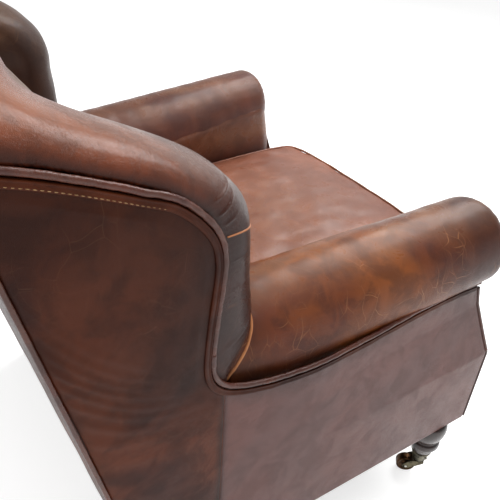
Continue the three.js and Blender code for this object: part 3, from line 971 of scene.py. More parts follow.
@dataclass(frozen=True)
class Leather:
    """Dyed leather: three tones, a sheen, and where its marks show."""

    name: str
    dark: str
    base: str
    warm: str
    pale: str = "b98a66"
    rough: float = 0.40
    relief: float = 0.5
    scratches: float = 0.0
    specular: float = 0.5
    bleach: float = 0.0  # how far the wear mask goes towards the pale tone: rubbed places, and on the arm and wing painted reflection and highlight
    marks: tuple[tuple[Place, Place], ...] = ()  # both ends of each single scratch
    mottle: float = 0.5  # how far blotches go towards the dark tone
    blend: tuple[float, float] = (0.0, 0.0)  # depths between which the arm goes from warm to dark

    def marked(self, g: Graph, fx: Effects, where: Socket, mark: Socket) -> Socket:
        """Adds the single long scratches to a mask, each bent a little by noise.

        Args:
            g: The material's graph.
            fx: The shared groups.
            where: Coordinates.
            mark: The mask so far.

        Returns:
            The mask with the scratches.
        """
        if not self.marks:
            return mark
        bend = g.node("TexNoise", {"Vector": where, "Scale": 60.0}).outputs[1]
        shift = g.node("VectorMath", {0: bend, 1: (0.5, 0.5, 0.5)}, operation="SUBTRACT").outputs[0]
        small = g.node("VectorMath", {0: shift, "Scale": 0.008}, operation="SCALE").outputs[0]
        bent = g.node("VectorMath", {0: where, 1: small}, operation="ADD").outputs[0]
        for ends in self.marks:
            start, end = ((x, y + DATUM_Y, z) for x, y, z in ends)
            one = g.node("Group", {"Vector": bent, "Start": start, "End": end}, node_tree=fx.segment)
            mark = g.math("MAXIMUM", mark, one.outputs["Mask"])
        return mark

    def made(self, fx: Effects) -> bpy.types.Material:
        """Builds the material.

        Args:
            fx: The shared groups.

        Returns:
            The material.
        """
        material, g, shader, where = started(self.name, specular=self.specular, coat=0.03, coat_rough=0.20)
        tone = g.node("Group", {"Vector": where}, node_tree=fx.tone)
        grain = g.node("Group", {"Vector": where}, node_tree=fx.grain)
        fine = g.node("Group", {"Vector": where, "Amount": self.scratches}, node_tree=fx.scratch)
        edge = g.node("Attribute", attribute_name="edge").outputs["Fac"]
        wear_and_sheen = g.node("Attribute", attribute_name="wear_and_sheen").outputs["Fac"]
        colour = g.mix(tone.outputs["Broad"], tint(self.base), tint(self.warm))
        colour = g.mix(g.math("MULTIPLY", tone.outputs["Blotch"], self.mottle), colour, tint(self.dark))
        if self.blend != (0.0, 0.0):
            depth = g.node("SeparateXYZ", {0: where}).outputs[1]
            front = g.span(depth, self.blend[0] + DATUM_Y, self.blend[1] + DATUM_Y)
            colour = g.mix(g.math("MULTIPLY", front, 0.75), colour, tint(self.dark))
        spared = g.math("ADD", g.math("MULTIPLY", tone.outputs["Blotch"], -0.35), 1.0)
        rubbed = g.math("MULTIPLY", wear_and_sheen, spared)
        # The wear mask goes pale: rubbed leather, and on the arm roll and wing painted reflection and
        # highlight.
        colour = g.mix(g.math("MULTIPLY", rubbed, self.bleach), colour, tint(self.pale))
        # The edge mask goes dark: seam dirt, and on some pieces painted shade below the roll, under the wing
        # and low on the arm's inside face.
        colour = g.mix(g.math("MULTIPLY", edge, 0.80), colour, tint(self.dark))
        mark = self.marked(g, fx, where, fine.outputs["Mask"])
        colour = g.mix(g.math("MULTIPLY", mark, 0.5), colour, tint(self.pale))
        colour = g.mix(g.math("MULTIPLY", grain.outputs["Crease"], 0.22), colour, tint(self.dark))
        gloss = g.math("ADD", g.math("MULTIPLY", tone.outputs["Blotch"], 0.10), self.rough - 0.05)
        gloss = g.math("SUBTRACT", gloss, g.math("MULTIPLY", wear_and_sheen, 0.05))
        height = g.math("SUBTRACT", grain.outputs["Height"], g.math("MULTIPLY", mark, 0.15))
        surfaced(g, shader, colour, gloss, height, self.relief, 0.0012)
        return material


@dataclass(frozen=True)
class Timber:
    """Wood, plain or stained and polished, with its figure along one axis."""

    name: str
    light: str
    dark: str
    rough: float
    stretch: Place
    coat: float = 0.0

    def made(self, fx: Effects) -> bpy.types.Material:
        """Builds the material.

        Args:
            fx: The shared groups.

        Returns:
            The material.
        """
        material, g, shader, where = started(self.name, coat=self.coat, coat_rough=0.15)
        figure = g.node("Group", {"Vector": where, "Stretch": self.stretch}, node_tree=fx.wood)
        colour = g.mix(figure.outputs["Streak"], tint(self.light), tint(self.dark))
        colour = g.mix(g.math("MULTIPLY", figure.outputs["Pore"], 0.4), colour, tint(self.dark), "MULTIPLY")
        gloss = g.math("ADD", g.math("MULTIPLY", figure.outputs["Streak"], 0.12), self.rough)
        surfaced(g, shader, colour, gloss, figure.outputs["Pore"], 0.3, 0.0004)
        return material


@dataclass(frozen=True)
class Metal:
    """Metal, tarnished in clouds and marked by handling."""

    name: str
    bright: str
    dull: str
    rough: float

    def made(self, fx: Effects) -> bpy.types.Material:
        """Builds the material.

        Args:
            fx: The shared groups.

        Returns:
            The material.
        """
        material, g, shader, where = started(self.name, metal=1.0)
        rub = g.node("Group", {"Vector": where}, node_tree=fx.rub)
        colour = g.mix(rub.outputs["Tarnish"], tint(self.bright), tint(self.dull))
        colour = g.mix(g.math("MULTIPLY", rub.outputs["Mark"], 0.35), colour, tint(self.bright))
        gloss = g.math("ADD", g.math("MULTIPLY", rub.outputs["Tarnish"], 0.22), self.rough)
        surfaced(g, shader, colour, gloss, rub.outputs["Height"], 0.25, 0.0004)
        return material


@dataclass(frozen=True)
class Cloth:
    """Woven cloth with threads of one thickness."""

    name: str
    thread: str
    gap: str
    threads: float

    def made(self, fx: Effects) -> bpy.types.Material:
        """Builds the material.

        Args:
            fx: The shared groups.

        Returns:
            The material.
        """
        material, g, shader, where = started(self.name, specular=0.2)
        weave = g.node("Group", {"Vector": where, "Threads": self.threads}, node_tree=fx.weave)
        tone = g.node("Group", {"Vector": where}, node_tree=fx.tone)
        colour = g.mix(weave.outputs["Gap"], tint(self.thread), tint(self.gap))
        colour = g.mix(g.math("MULTIPLY", tone.outputs["Blotch"], 0.4), colour, tint(self.gap))
        gloss = g.math("ADD", g.math("MULTIPLY", weave.outputs["Gap"], 0.08), 0.85)
        surfaced(g, shader, colour, gloss, weave.outputs["Height"], 0.5, 0.0008)
        return material


ARM_MARKS = (
    ((-0.300, -0.105, 0.590), (-0.345, -0.100, 0.575)),
    ((-0.290, -0.165, 0.594), (-0.330, -0.180, 0.586)),
    ((-0.330, -0.180, 0.586), (-0.335, -0.235, 0.588)),
    ((-0.325, -0.290, 0.598), (-0.352, -0.285, 0.590)),
    ((-0.352, -0.060, 0.567), (-0.366, -0.085, 0.550)),
    ((-0.366, -0.085, 0.550), (-0.371, -0.112, 0.534)),
    ((-0.330, -0.055, 0.580), (-0.341, -0.060, 0.574)),
    ((-0.345, -0.200, 0.577), (-0.361, -0.230, 0.566)),
)


@dataclass
class Palette:
    """Every finish of the chair, built from the shared groups."""

    fx: Effects

    def __post_init__(self) -> None:
        """Builds the materials."""
        plans = {
            # The side finish is the same dark leather as the skirt with its base colour darkened: painted
            # shade for the side panels, which face away from the lights.
            "side": Leather("leather_side_shaded", "150603", "3a160c", "5e2a10", rough=0.40, relief=0.45,
                            scratches=0.10, specular=0.10, mottle=0.42),
            "skirt": Leather("leather_skirt", "2a0f0b", "54261e", "5f2a1e", rough=0.38, relief=0.45,
                             scratches=0.08, specular=0.36, mottle=0.28),
            "wing": Leather("leather_wing", "1e0a06", "451b0f", "6a2d16", "b57a58", rough=0.30,
                            scratches=0.2, specular=0.24, bleach=0.40),
            "arm": Leather("leather_arm", "32120a", "683016", "8a4a1c", "c98f62", rough=0.33, scratches=1.0,
                           specular=0.30, bleach=0.30, marks=ARM_MARKS, blend=(-0.16, -0.36)),
            "seat": Leather("leather_seat", "5a2c1f", "824c39", "965a42", "b98a6c", rough=0.34,
                            scratches=0.4, specular=0.42, bleach=0.25, mottle=0.35),
            "back": Leather("leather_back", "28130c", "4c2a19", "66401f", "9a6c42", rough=0.38, relief=0.55,
                            scratches=0.25, specular=0.3, bleach=0.3),
            "far_arm": Leather("leather_far_arm", "3a1a14", "5e3224", "683424", "ad7a58", rough=0.34,
                               scratches=0.25, specular=0.36, bleach=0.45),
            "piping": Leather("leather_piping", "1e0b08", "431b13", "542519", "8a5a44", rough=0.30,
                              relief=0.4, specular=0.4, bleach=0.25),
        }
        self.made = {key: plan.made(self.fx) for key, plan in plans.items()}
        others = {
            "raw_edge": Leather("leather_raw_edge", "7a4526", "c27a48", "d08a55", "e0b080", 0.6, 0.3),
            "thread": Cloth("linen_thread", "b8946a", "7a5838", 5200.0),
            "frame_wood": Timber("beech_plain", "c49a6a", "9a7044", 0.6, (1.0, 0.12, 0.3)),
            "leg_wood": Timber("leg_stained", "2c1610", "120705", 0.26, (1.0, 1.0, 0.12), 0.3),
            "spring": Metal("wire_bright", "9a9c9e", "5d5f60", 0.30),
            "steel": Metal("steel_plain", "d9d6cf", "8b8780", 0.25),
            "brass": Metal("brass_aged", "6a6450", "1a1710", 0.32),
            "wheel": Metal("brass_wheel", "4a3423", "1a110b", 0.34),
            "jute": Cloth("jute_coarse", "a58a60", "5f4a30", 1100.0),
            "lining": Cloth("lining_black", "2b2a29", "0f0f0f", 2600.0),
        }
        self.made.update({key: plan.made(self.fx) for key, plan in others.items()})

    def __getitem__(self, key: str) -> bpy.types.Material:
        """A finish by its short name.

        Args:
            key: The name.

        Returns:
            The material.
        """
        return self.made[key]


@dataclass
class Workshop:
    """Dresses finished pieces and ties them to the frame."""

    palette: Palette

    def fit(self, piece: bpy.types.Object, finish: str, slot: str, body: str = "chair",
            replaces: Sequence[str] = (), fill: Optional[float] = None) -> bpy.types.Object:
        """Gives a piece its material and its body, and hides the frame nodes it stands for.

        Args:
            piece: The object.
            finish: Short name of the finish.
            slot: The record's material slot; not used.
            body: The frame's body it rides on.
            replaces: Frame nodes it stands for.
            fill: How full a padded piece is; not used.

        Returns:
            The piece.
        """
        piece.data.materials.clear()
        piece.data.materials.append(self.palette[finish])
        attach(piece, body)
        if replaces:
            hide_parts(*replaces)
        LOG.info("%s: %d faces", piece.name, len(piece.data.polygons))
        return piece


# ------------------------------------------------------------------ sides


@dataclass
class SidePanels:
    """The flat leather of each side: the outer panel, the panel under the arm, hem and stitches."""

    shop: Workshop
    rows: int = 190
    columns: int = 110
    skin: float = 0.0035
    hem_width: float = 0.0085
    stitch_pitch: float = 0.0056

    def route(self, inset: float, count: int = 500) -> np.ndarray:
        """The side welt's route moved into the leather below and behind it.

        Args:
            inset: How far it is moved.
            count: How many points.

        Returns:
            Points in (y, z).
        """
        line = evenly(np.array([*WING_ROUTE, *ARM_ROUTE]), count)
        run = np.gradient(line, axis=0)
        run /= np.linalg.norm(run, axis=1, keepdims=True)
        return line + inset * np.stack([-run[:, 1], run[:, 0]], -1)

    def front_of(self, z: np.ndarray, inset: float) -> np.ndarray:
        """Depth of the outer panel's front edge: the seam, then the wing's edge.

        Args:
            z: Height.
            inset: How far the edge keeps from the welt's middle.

        Returns:
            The depth.
        """
        wing = self.route(inset)
        wing = wing[: int(np.argmin(wing[:, 1] + 9 * (wing[:, 0] < SEAM_Y - 0.002)))]
        order = np.argsort(wing[:, 1])
        edge = np.interp(z, wing[order, 1], wing[order, 0])
        return np.where(z < SEAM_TOP, SEAM_Y + 0.0004, np.maximum(edge, SEAM_Y + 0.0004))

    def outer(self, side: Side) -> bpy.types.Object:
        """The outer side panel, pulled into drag wrinkles from its rear edge.

        Each row runs from the front edge to the rear edge at one height. The skin stands out by a
        soft crown, less folds that start at the rear edge, drop and flatten out: fold k lies where
        z = z_k - drop * (1 - exp(-distance / length)).

        Args:
            side: Which side.

        Returns:
            The piece.
        """
        v = np.linspace(0, 1, self.rows)[:, None]
        u = np.linspace(0, 1, self.columns)[None]
        z = BODY_BOTTOM + (0.861 - BODY_BOTTOM) * v + 0 * u
        front = self.front_of(z, WELT_GAP)
        rear = rear_face(z) - 0.0030
        y = front + (rear - front) * u
        from_rear = rear - y
        folds = np.zeros_like(z)
        for k, (start, drop, width, depth) in enumerate((
            (0.755, 0.190, 0.0070, 0.5), (0.720, 0.165, 0.0065, 0.8), (0.688, 0.143, 0.0070, 1.0),
            (0.660, 0.125, 0.0062, 1.4), (0.632, 0.109, 0.0075, 1.3), (0.603, 0.093, 0.0065, 1.1),
            (0.570, 0.076, 0.0080, 0.8), (0.533, 0.056, 0.0085, 0.5), (0.488, 0.035, 0.0090, 0.3),
        )):
            line = start - drop * (1 - np.exp(-from_rear / 0.062))
            line = line + 0.003 * ripple(from_rear / 0.10, 0.3 * k, 40 + k)
            fade = np.exp(-((from_rear / 0.120) ** 2)) * ramp(from_rear, 0.010)
            folds += depth * 0.001 * fade * (hump(z, line, width) - 0.5 * hump(z, line - 0.013, width))
        corner = np.hypot(y - 0.158, z - 0.515)
        pucker = 0.0003 * np.sin(corner / 0.009) * np.exp(-corner / 0.05) * (z < 0.60)
        crown = 0.0035 * ramp(from_rear, 0.05) ** 0.5 * ramp(y - front, 0.05) ** 0.5
        uneven = 0.0010 * ripple(y / 0.21, z / 0.16, 3)
        near = reach_to(np.stack([y, z], -1), self.route(0.0))
        settle = ramp(near - 0.004, 0.02) * ramp(z - BODY_BOTTOM, 0.01)
        x = SIDE_X - 0.001 + (crown + uneven + pucker) * settle + folds
        x -= 0.004 * falloff(from_rear, 0.005) ** 2
        edge = np.maximum(falloff(near, 0.03) ** 2, falloff(y - SEAM_Y, 0.012) * (z < SEAM_TOP + 0.006))
        # Painted shade: the upper front of the side panel, under the wing and the roll, goes dark up to 0.2 m
        # from the welt.
        edge = np.maximum(edge, 0.75 * np.clip(1.15 - near / 0.20, 0, 1) * ramp(z - 0.46, 0.10))
        inner = placed(side, SIDE_X - self.skin - 0.001, y, z)
        piece = shell(f"side_leather_{side.label}", placed(side, x, y, z), inner, edge)
        return self.shop.fit(piece, "side", "leather_dark", replaces=[f"outer_side_panel_{side.label}"])

    def under_arm(self, side: Side) -> bpy.types.Object:
        """The outside arm panel: it leans in towards the top front and gathers a little under the piping.

        Each column runs from the bottom to the piping at one depth; the front edge slopes with height.

        Args:
            side: Which side.

        Returns:
            The piece.
        """
        u = np.linspace(0, 1, 150)[:, None]
        v = np.linspace(0, 1, 110)[None]
        under = self.route(WELT_GAP)
        order = np.argsort(under[:, 0])
        y = SEAM_Y - 0.0004 + (-0.399 - SEAM_Y) * u + 0 * v
        for _ in range(4):
            top = np.interp(y, under[order, 0], under[order, 1])
            top = np.where(y > SEAM_Y - 0.02, np.minimum(top, 0.522), top)
            z = BODY_BOTTOM + (top - BODY_BOTTOM) * v
            y = SEAM_Y - 0.0004 + (facing_y(z) + 0.001 - SEAM_Y) * u
        gather = 0.0006 * np.sin((y + 0.1 * z) / 0.0042) * np.exp(-(top - z) / 0.014)
        gather = gather * (0.5 + 0.5 * ripple(y / 0.12, 0.0, 8))
        crown = 0.0030 * (np.sin(math.pi * np.clip(u, 0, 1)) * np.sin(math.pi * v)) ** 0.6
        uneven = 0.0009 * ripple(y / 0.19, z / 0.15, 12) * np.sin(math.pi * u) * np.sin(math.pi * v)
        x = SIDE_X - 0.0015 - lean(y, z) + crown + uneven + gather
        x -= 0.003 * falloff(y - facing_y(z), 0.006) ** 2 + 0.0022 * falloff(SEAM_Y - y, 0.005) ** 2
        # Painted shadow: the panel darkens within 45 mm below the roll; the darkening by the upright seam is
        # seam dirt.
        edge = np.maximum(falloff(top - z, 0.045) ** 2, falloff(SEAM_Y - y, 0.015) ** 2)
        wear_and_sheen = falloff(y - facing_y(z), 0.035) ** 2
        inner = placed(side, SIDE_X - self.skin - 0.0015 - lean(y, z), y, z)
        piece = shell(f"arm_outside_leather_{side.label}", placed(side, x, y, z), inner, edge, wear_and_sheen)
        return self.shop.fit(piece, "skirt", "leather_dark", replaces=[f"outside_arm_panel_{side.label}"])

    def skin_x(self, line: np.ndarray) -> np.ndarray:
        """Distance of the leather's face from the middle.

        Args:
            line: Points in (y, z).

        Returns:
            The distance at each point.
        """
        return SIDE_X - lean(line[:, 0], line[:, 1])

    def hem(self, side: Side) -> None:
        """The folded edge of the panels beside the welt, and the row of stitches along it.

        The hem is a flat rounded band carried along the welt's route, set into the leather; the
        stitches lie near its inner border.

        Args:
            side: Which side.
        """
        middle_line = self.route(0.0038 + self.hem_width / 2, 620)[4:-4]
        wave = 0.0003 * ripple(np.linspace(0, 22, len(middle_line)), 0.0, 21)
        path = placed(side, self.skin_x(middle_line) - 0.0002 + wave, middle_line[:, 0], middle_line[:, 1])
        turn = np.linspace(0, 2 * math.pi, 49)
        wide = self.hem_width / 2 * np.sign(np.cos(turn)) * np.abs(np.cos(turn)) ** 0.45
        thick = 0.0017 * np.sign(np.sin(turn)) * np.abs(np.sin(turn)) ** 0.7
        thick = thick * (1 - 0.75 * hump(wide, 0.0012, 0.0011))
        band = np.stack([thick, wide], -1)
        grid = swept(path, band)
        piece = build(f"side_hem_{side.label}", [Sheet(grid, np.full(grid.shape[:2], 0.35))])
        self.shop.fit(piece, "side", "leather_dark")
        seam = self.route(0.0038 + self.hem_width * 0.78, 620)[4:]
        seam = seam[: int(np.argmax(seam[:, 0] < 0.205))]
        line = placed(side, self.skin_x(seam) + 0.0014, seam[:, 0], seam[:, 1])
        out = np.tile(np.array([side.value, 0.0, 0.0]), (len(line), 1))
        row = stitches(f"side_stitches_{side.label}", line, out, self.stitch_pitch, 0.0010)
        self.shop.fit(row, "thread", "jute")

    def piping(self, side: Side) -> None:
        """The side welt, along its whole route, with the joint in its covering.

        Args:
            side: Which side.
        """
        line = self.route(0.0, 560)
        x = self.skin_x(line) - 0.0020 + 0.0004 * ripple(np.linspace(0, 30, len(line)), 0.0, 31)
        rise = 0.0012 + 0.0005 * ripple(np.linspace(0, 18, len(line)), 1.0, 33)
        path = placed(side, x, line[:, 0], line[:, 1] + rise)
        cord = welt(f"side_piping_{side.label}", path, 0.0036, 2)
        self.shop.fit(cord, "piping", "leather_dark", replaces=[f"side_welt_{side.label}"])
        joint = welt(f"side_piping_joint_{side.label}", path[int(0.43 * 560):int(0.43 * 560) + 12], 0.0041, 9)
        self.shop.fit(joint, "piping", "leather_dark")

    def seam_cord(self, side: Side) -> None:
        """The upright seam between the side's two panels: a low rounded ridge.

        Args:
            side: Which side.
        """
        z = np.linspace(BODY_BOTTOM + 0.002, 0.519, 90)
        path = placed(side, SIDE_X - 0.0032, SEAM_Y, z)
        self.shop.fit(welt(f"side_seam_{side.label}", path, 0.0022, 4), "side", "leather_dark")

    def make(self) -> None:
        """Builds both sides."""
        for side in Side:
            self.outer(side)
            self.under_arm(side)
            self.hem(side)
            self.piping(side)
            self.seam_cord(side)


# ------------------------------------------------------------------ wings and the padded top


@dataclass
class Border:
    """The padded border that runs up each wing and over the top of the back.

    Three guide lines, read at the same stations, shape it: the outer seam, the crown and the
    inner seam. The section between them is a half superellipse.
    """

    shop: Workshop
    fullness: float = 2.35

    OUTER = np.array([
        (0.3845, 0.136, 0.522), (0.3845, 0.150, 0.541), (0.3845, 0.1545, 0.574), (0.3845, 0.151, 0.642),
        (0.3845, 0.1455, 0.686), (0.3845, 0.1435, 0.714), (0.3845, 0.148, 0.739), (0.3845, 0.161, 0.7635),
        (0.3845, 0.179, 0.783), (0.3845, 0.222, 0.8135), (0.3845, 0.2735, 0.838), (0.3845, 0.3155, 0.856),
        (0.383, 0.356, 0.8695), (0.350, 0.3815, 0.879), (0.255, 0.3845, 0.894), (0.130, 0.3865, 0.903),
        (0.0, 0.387, 0.907),
    ])
    CROWN = np.array([
        (0.311, 0.137, 0.497), (0.311, 0.107, 0.534), (0.311, 0.0790, 0.5760), (0.311, 0.0830, 0.644),
        (0.311, 0.0865, 0.691), (0.311, 0.087, 0.720), (0.311, 0.0935, 0.7485), (0.311, 0.111, 0.773),
        (0.311, 0.136, 0.7945), (0.311, 0.1955, 0.831), (0.310, 0.260, 0.8635), (0.306, 0.297, 0.886),
        (0.297, 0.320, 0.908), (0.264, 0.332, 0.934), (0.200, 0.334, 0.951), (0.110, 0.331, 0.961),
        (0.0, 0.329, 0.965),
    ])
    INNER = np.array([
        (0.238, 0.140, 0.520), (0.238, 0.157, 0.540), (0.238, 0.162, 0.574), (0.238, 0.154, 0.642),
        (0.238, 0.146, 0.686), (0.238, 0.143, 0.714), (0.238, 0.149, 0.738), (0.238, 0.163, 0.760),
        (0.238, 0.181, 0.778), (0.238, 0.220, 0.800), (0.236, 0.250, 0.815), (0.232, 0.268, 0.826),
        (0.226, 0.276, 0.836), (0.212, 0.280, 0.842), (0.170, 0.281, 0.846), (0.090, 0.280, 0.848),
        (0.0, 0.280, 0.849),
    ])

    def spine(self, stations: np.ndarray) -> np.ndarray:
        """Where the inner face meets the back, out of sight behind its pad.

        Args:
            stations: Places along the border.

        Returns:
            One point for each.
        """
        z = np.interp(stations, [0, 4, 8, 12, 16], [0.505, 0.63, 0.75, 0.835, 0.842])
        x = np.interp(stations, [0, 10, 13, 16], [0.246, 0.246, 0.20, 0.0])
        return np.stack([x, rear_face(z) - 0.062, z], -1)

    def skin(self, stations: np.ndarray, turn: np.ndarray, lift: float = 0.0) -> np.ndarray:
        """Points of the padded face.

        A point is the outer seam, plus the way to the inner seam times (1 - cos') / 2, plus the
        way from their middle to the crown times sin', where cos' and sin' are those of the turn
        raised to the power that makes a superellipse.

        Args:
            stations: Places along the border.
            turn: Places across it, from 0 at the outer seam to pi at the inner one.
            lift: How far to stand off the face.

        Returns:
            The grid of (x, y, z) before it is put on a side.
        """
        outer, crown, inner = (along(line, stations) for line in (self.OUTER, self.CROWN, self.INNER))
        power = 2 / self.fullness
        across = 0.5 - 0.5 * np.sign(np.cos(turn)) * np.abs(np.cos(turn)) ** power
        rise = np.abs(np.sin(turn)) ** power
        grid = (outer[:, None] + (inner - outer)[:, None] * across[None, :, None]
                + (crown - (outer + inner) / 2)[:, None] * rise[None, :, None])
        way = np.gradient(grid, axis=0)
        other = np.gradient(grid, axis=1)
        normal = np.cross(other, way)
        size = np.linalg.norm(normal, axis=2, keepdims=True)
        normal = np.divide(normal, size, out=np.zeros_like(normal), where=size > 1e-12)
        s, t = stations[:, None], turn[None]
        dents = 0.0011 * ripple(s / 2.4, t / 1.3, 17) * np.sin(t)
        for place, slant, start, end, depth in (
            (6.95, 0.28, 0.06, 0.95, 0.0013), (7.80, -0.30, 0.25, 1.35, 0.0012),
            (6.45, 0.20, 0.06, 0.60, 0.0009), (4.60, -0.10, 0.05, 0.80, 0.0006),
            (3.40, 0.10, 0.05, 0.70, 0.0006), (9.60, 0.10, 0.10, 0.50, 0.0005),
            (2.10, 0.25, 0.10, 0.90, 0.0012),
        ):
            window = ramp(t - start, 0.12) * ramp(end - t, 0.30)
            dents = dents - depth * window * hump(s, place + slant * t, 0.06)
        puckers = 0.0001 * np.sin(s * 21) * np.exp(-t / 0.22)
        return grid + normal * (dents + puckers + lift)[..., None]

    def closed(self, stations: np.ndarray) -> tuple[np.ndarray, np.ndarray, np.ndarray]:
        """The whole skin round: padded face, inner face to the spine, hidden back, and both ends.

        Args:
            stations: Places along the border.

        Returns:
            Points, edge mask, and wear mask that is partly a painted highlight.
        """
        turn = np.linspace(0, math.pi, 72)
        face = self.skin(stations, turn)
        spine = self.spine(stations)
        inward = np.linspace(0, 1, 14)[1:, None]
        inner = face[:, -1][:, None] + (spine - face[:, -1])[:, None] * inward
        s = stations[:, None]
        step = inward[:, 0][None]
        hollow = -0.010 * np.sin(math.pi * step) * falloff(s - 8, 4)
        inner[..., 0] += hollow + 0.0010 * ripple(s / 3, step, 5)
        back = spine[:, None] + (face[:, 0] - spine)[:, None] * np.linspace(0, 1, 6)[1:, None]
        grid = np.concatenate([face, inner, back], 1)
        ends = [np.repeat(grid[k].mean(0)[None, None], grid.shape[1], 1) for k in (0, -1)]
        grid = np.concatenate([ends[0], grid, ends[1]])
        across = np.concatenate([turn, np.full(grid.shape[1] - len(turn), 4.0)])[None]
        rows = np.concatenate([stations[:1], stations, stations[-1:]])[:, None]
        edge = np.maximum(falloff(across, 0.45) ** 1.5, 0.85 * ramp(8.9 - rows, 2.2))
        # Partly real wear, partly painted highlight: the crown's upper part goes pale where the lights
        # reflect.
        wear_and_sheen = hump(across, 1.15, 0.75) * ramp(rows - 6.0, 4.0) * ramp(17 - rows, 4)
        return grid, edge, wear_and_sheen

    def wing(self, side: Side) -> None:
        """One wing's border, its inner face, and the raw-edged seams across it.

        Args:
            side: Which side.
        """
        grid, edge, wear_and_sheen = self.closed(np.linspace(0, 12.2, 300))
        points = placed(side, *np.moveaxis(grid, -1, 0))
        piece = build(f"wing_border_{side.label}", [Sheet(points, edge, wear_and_sheen)])
        self.shop.fit(piece, "wing" if side is Side.RIGHT else "back", "leather_dark",
                      replaces=[f"wing_pad_{side.label}"], fill=0.8)
        turn = np.linspace(0.05, 1.15, 40)
        stations = 5.92 - 0.95 * (turn / 1.15) ** 1.3
        beside = np.array([-0.02, 0.0, 0.02])
        line = np.stack([self.skin(s + beside, t + beside, 0.0004)[1, 1] for s, t in zip(stations, turn)])
        strip = welt(f"wing_seam_{side.label}", placed(side, *line.T), 0.0015, 6, 0.7)
        self.shop.fit(strip, "raw_edge", "leather_dark")
        lower = np.array([(0.3068, 0.0655, 0.5843), (0.3184, 0.0700, 0.5812), (0.3338, 0.0737, 0.5741),
                          (0.3470, 0.0786, 0.5645), (0.3565, 0.0871, 0.5538), (0.3632, 0.0967, 0.5433),
                          (0.3695, 0.1143, 0.5280), (0.3725, 0.1300, 0.5165)])
        roll = evenly(lower, 70)
        cord = welt(f"wing_foot_seam_{side.label}", placed(side, *roll.T), 0.0022, 13)
        self.shop.fit(cord, "raw_edge", "leather_dark")

    def top(self) -> None:
        """The roll over the top of the back, mirrored about its middle so that both halves agree."""
        grid, edge, wear_and_sheen = self.closed(np.linspace(12.0, 16.0, 60))
        half, edge, wear_and_sheen = grid[:-1], edge[:-1], wear_and_sheen[:-1]
        right = middle(half[..., 0], half[..., 1], half[..., 2])
        left = middle(-half[::-1, :, 0], half[::-1, :, 1], half[::-1, :, 2])
        whole = np.concatenate([right, left[1:]])
        whole[..., 0] *= 1 - FLARE * 0.9
        piece = build("back_top_roll", [Sheet(whole, np.concatenate([edge, edge[::-1][1:]]),
                                              np.concatenate([wear_and_sheen, wear_and_sheen[::-1][1:]]))])
        self.shop.fit(piece, "wing", "leather_dark", replaces=["inside_back_pad"], fill=0.8)

    def make(self) -> None:
        """Builds both wings and the top."""
        for side in Side:
            self.wing(side)
        self.top()


# ------------------------------------------------------------------ arms


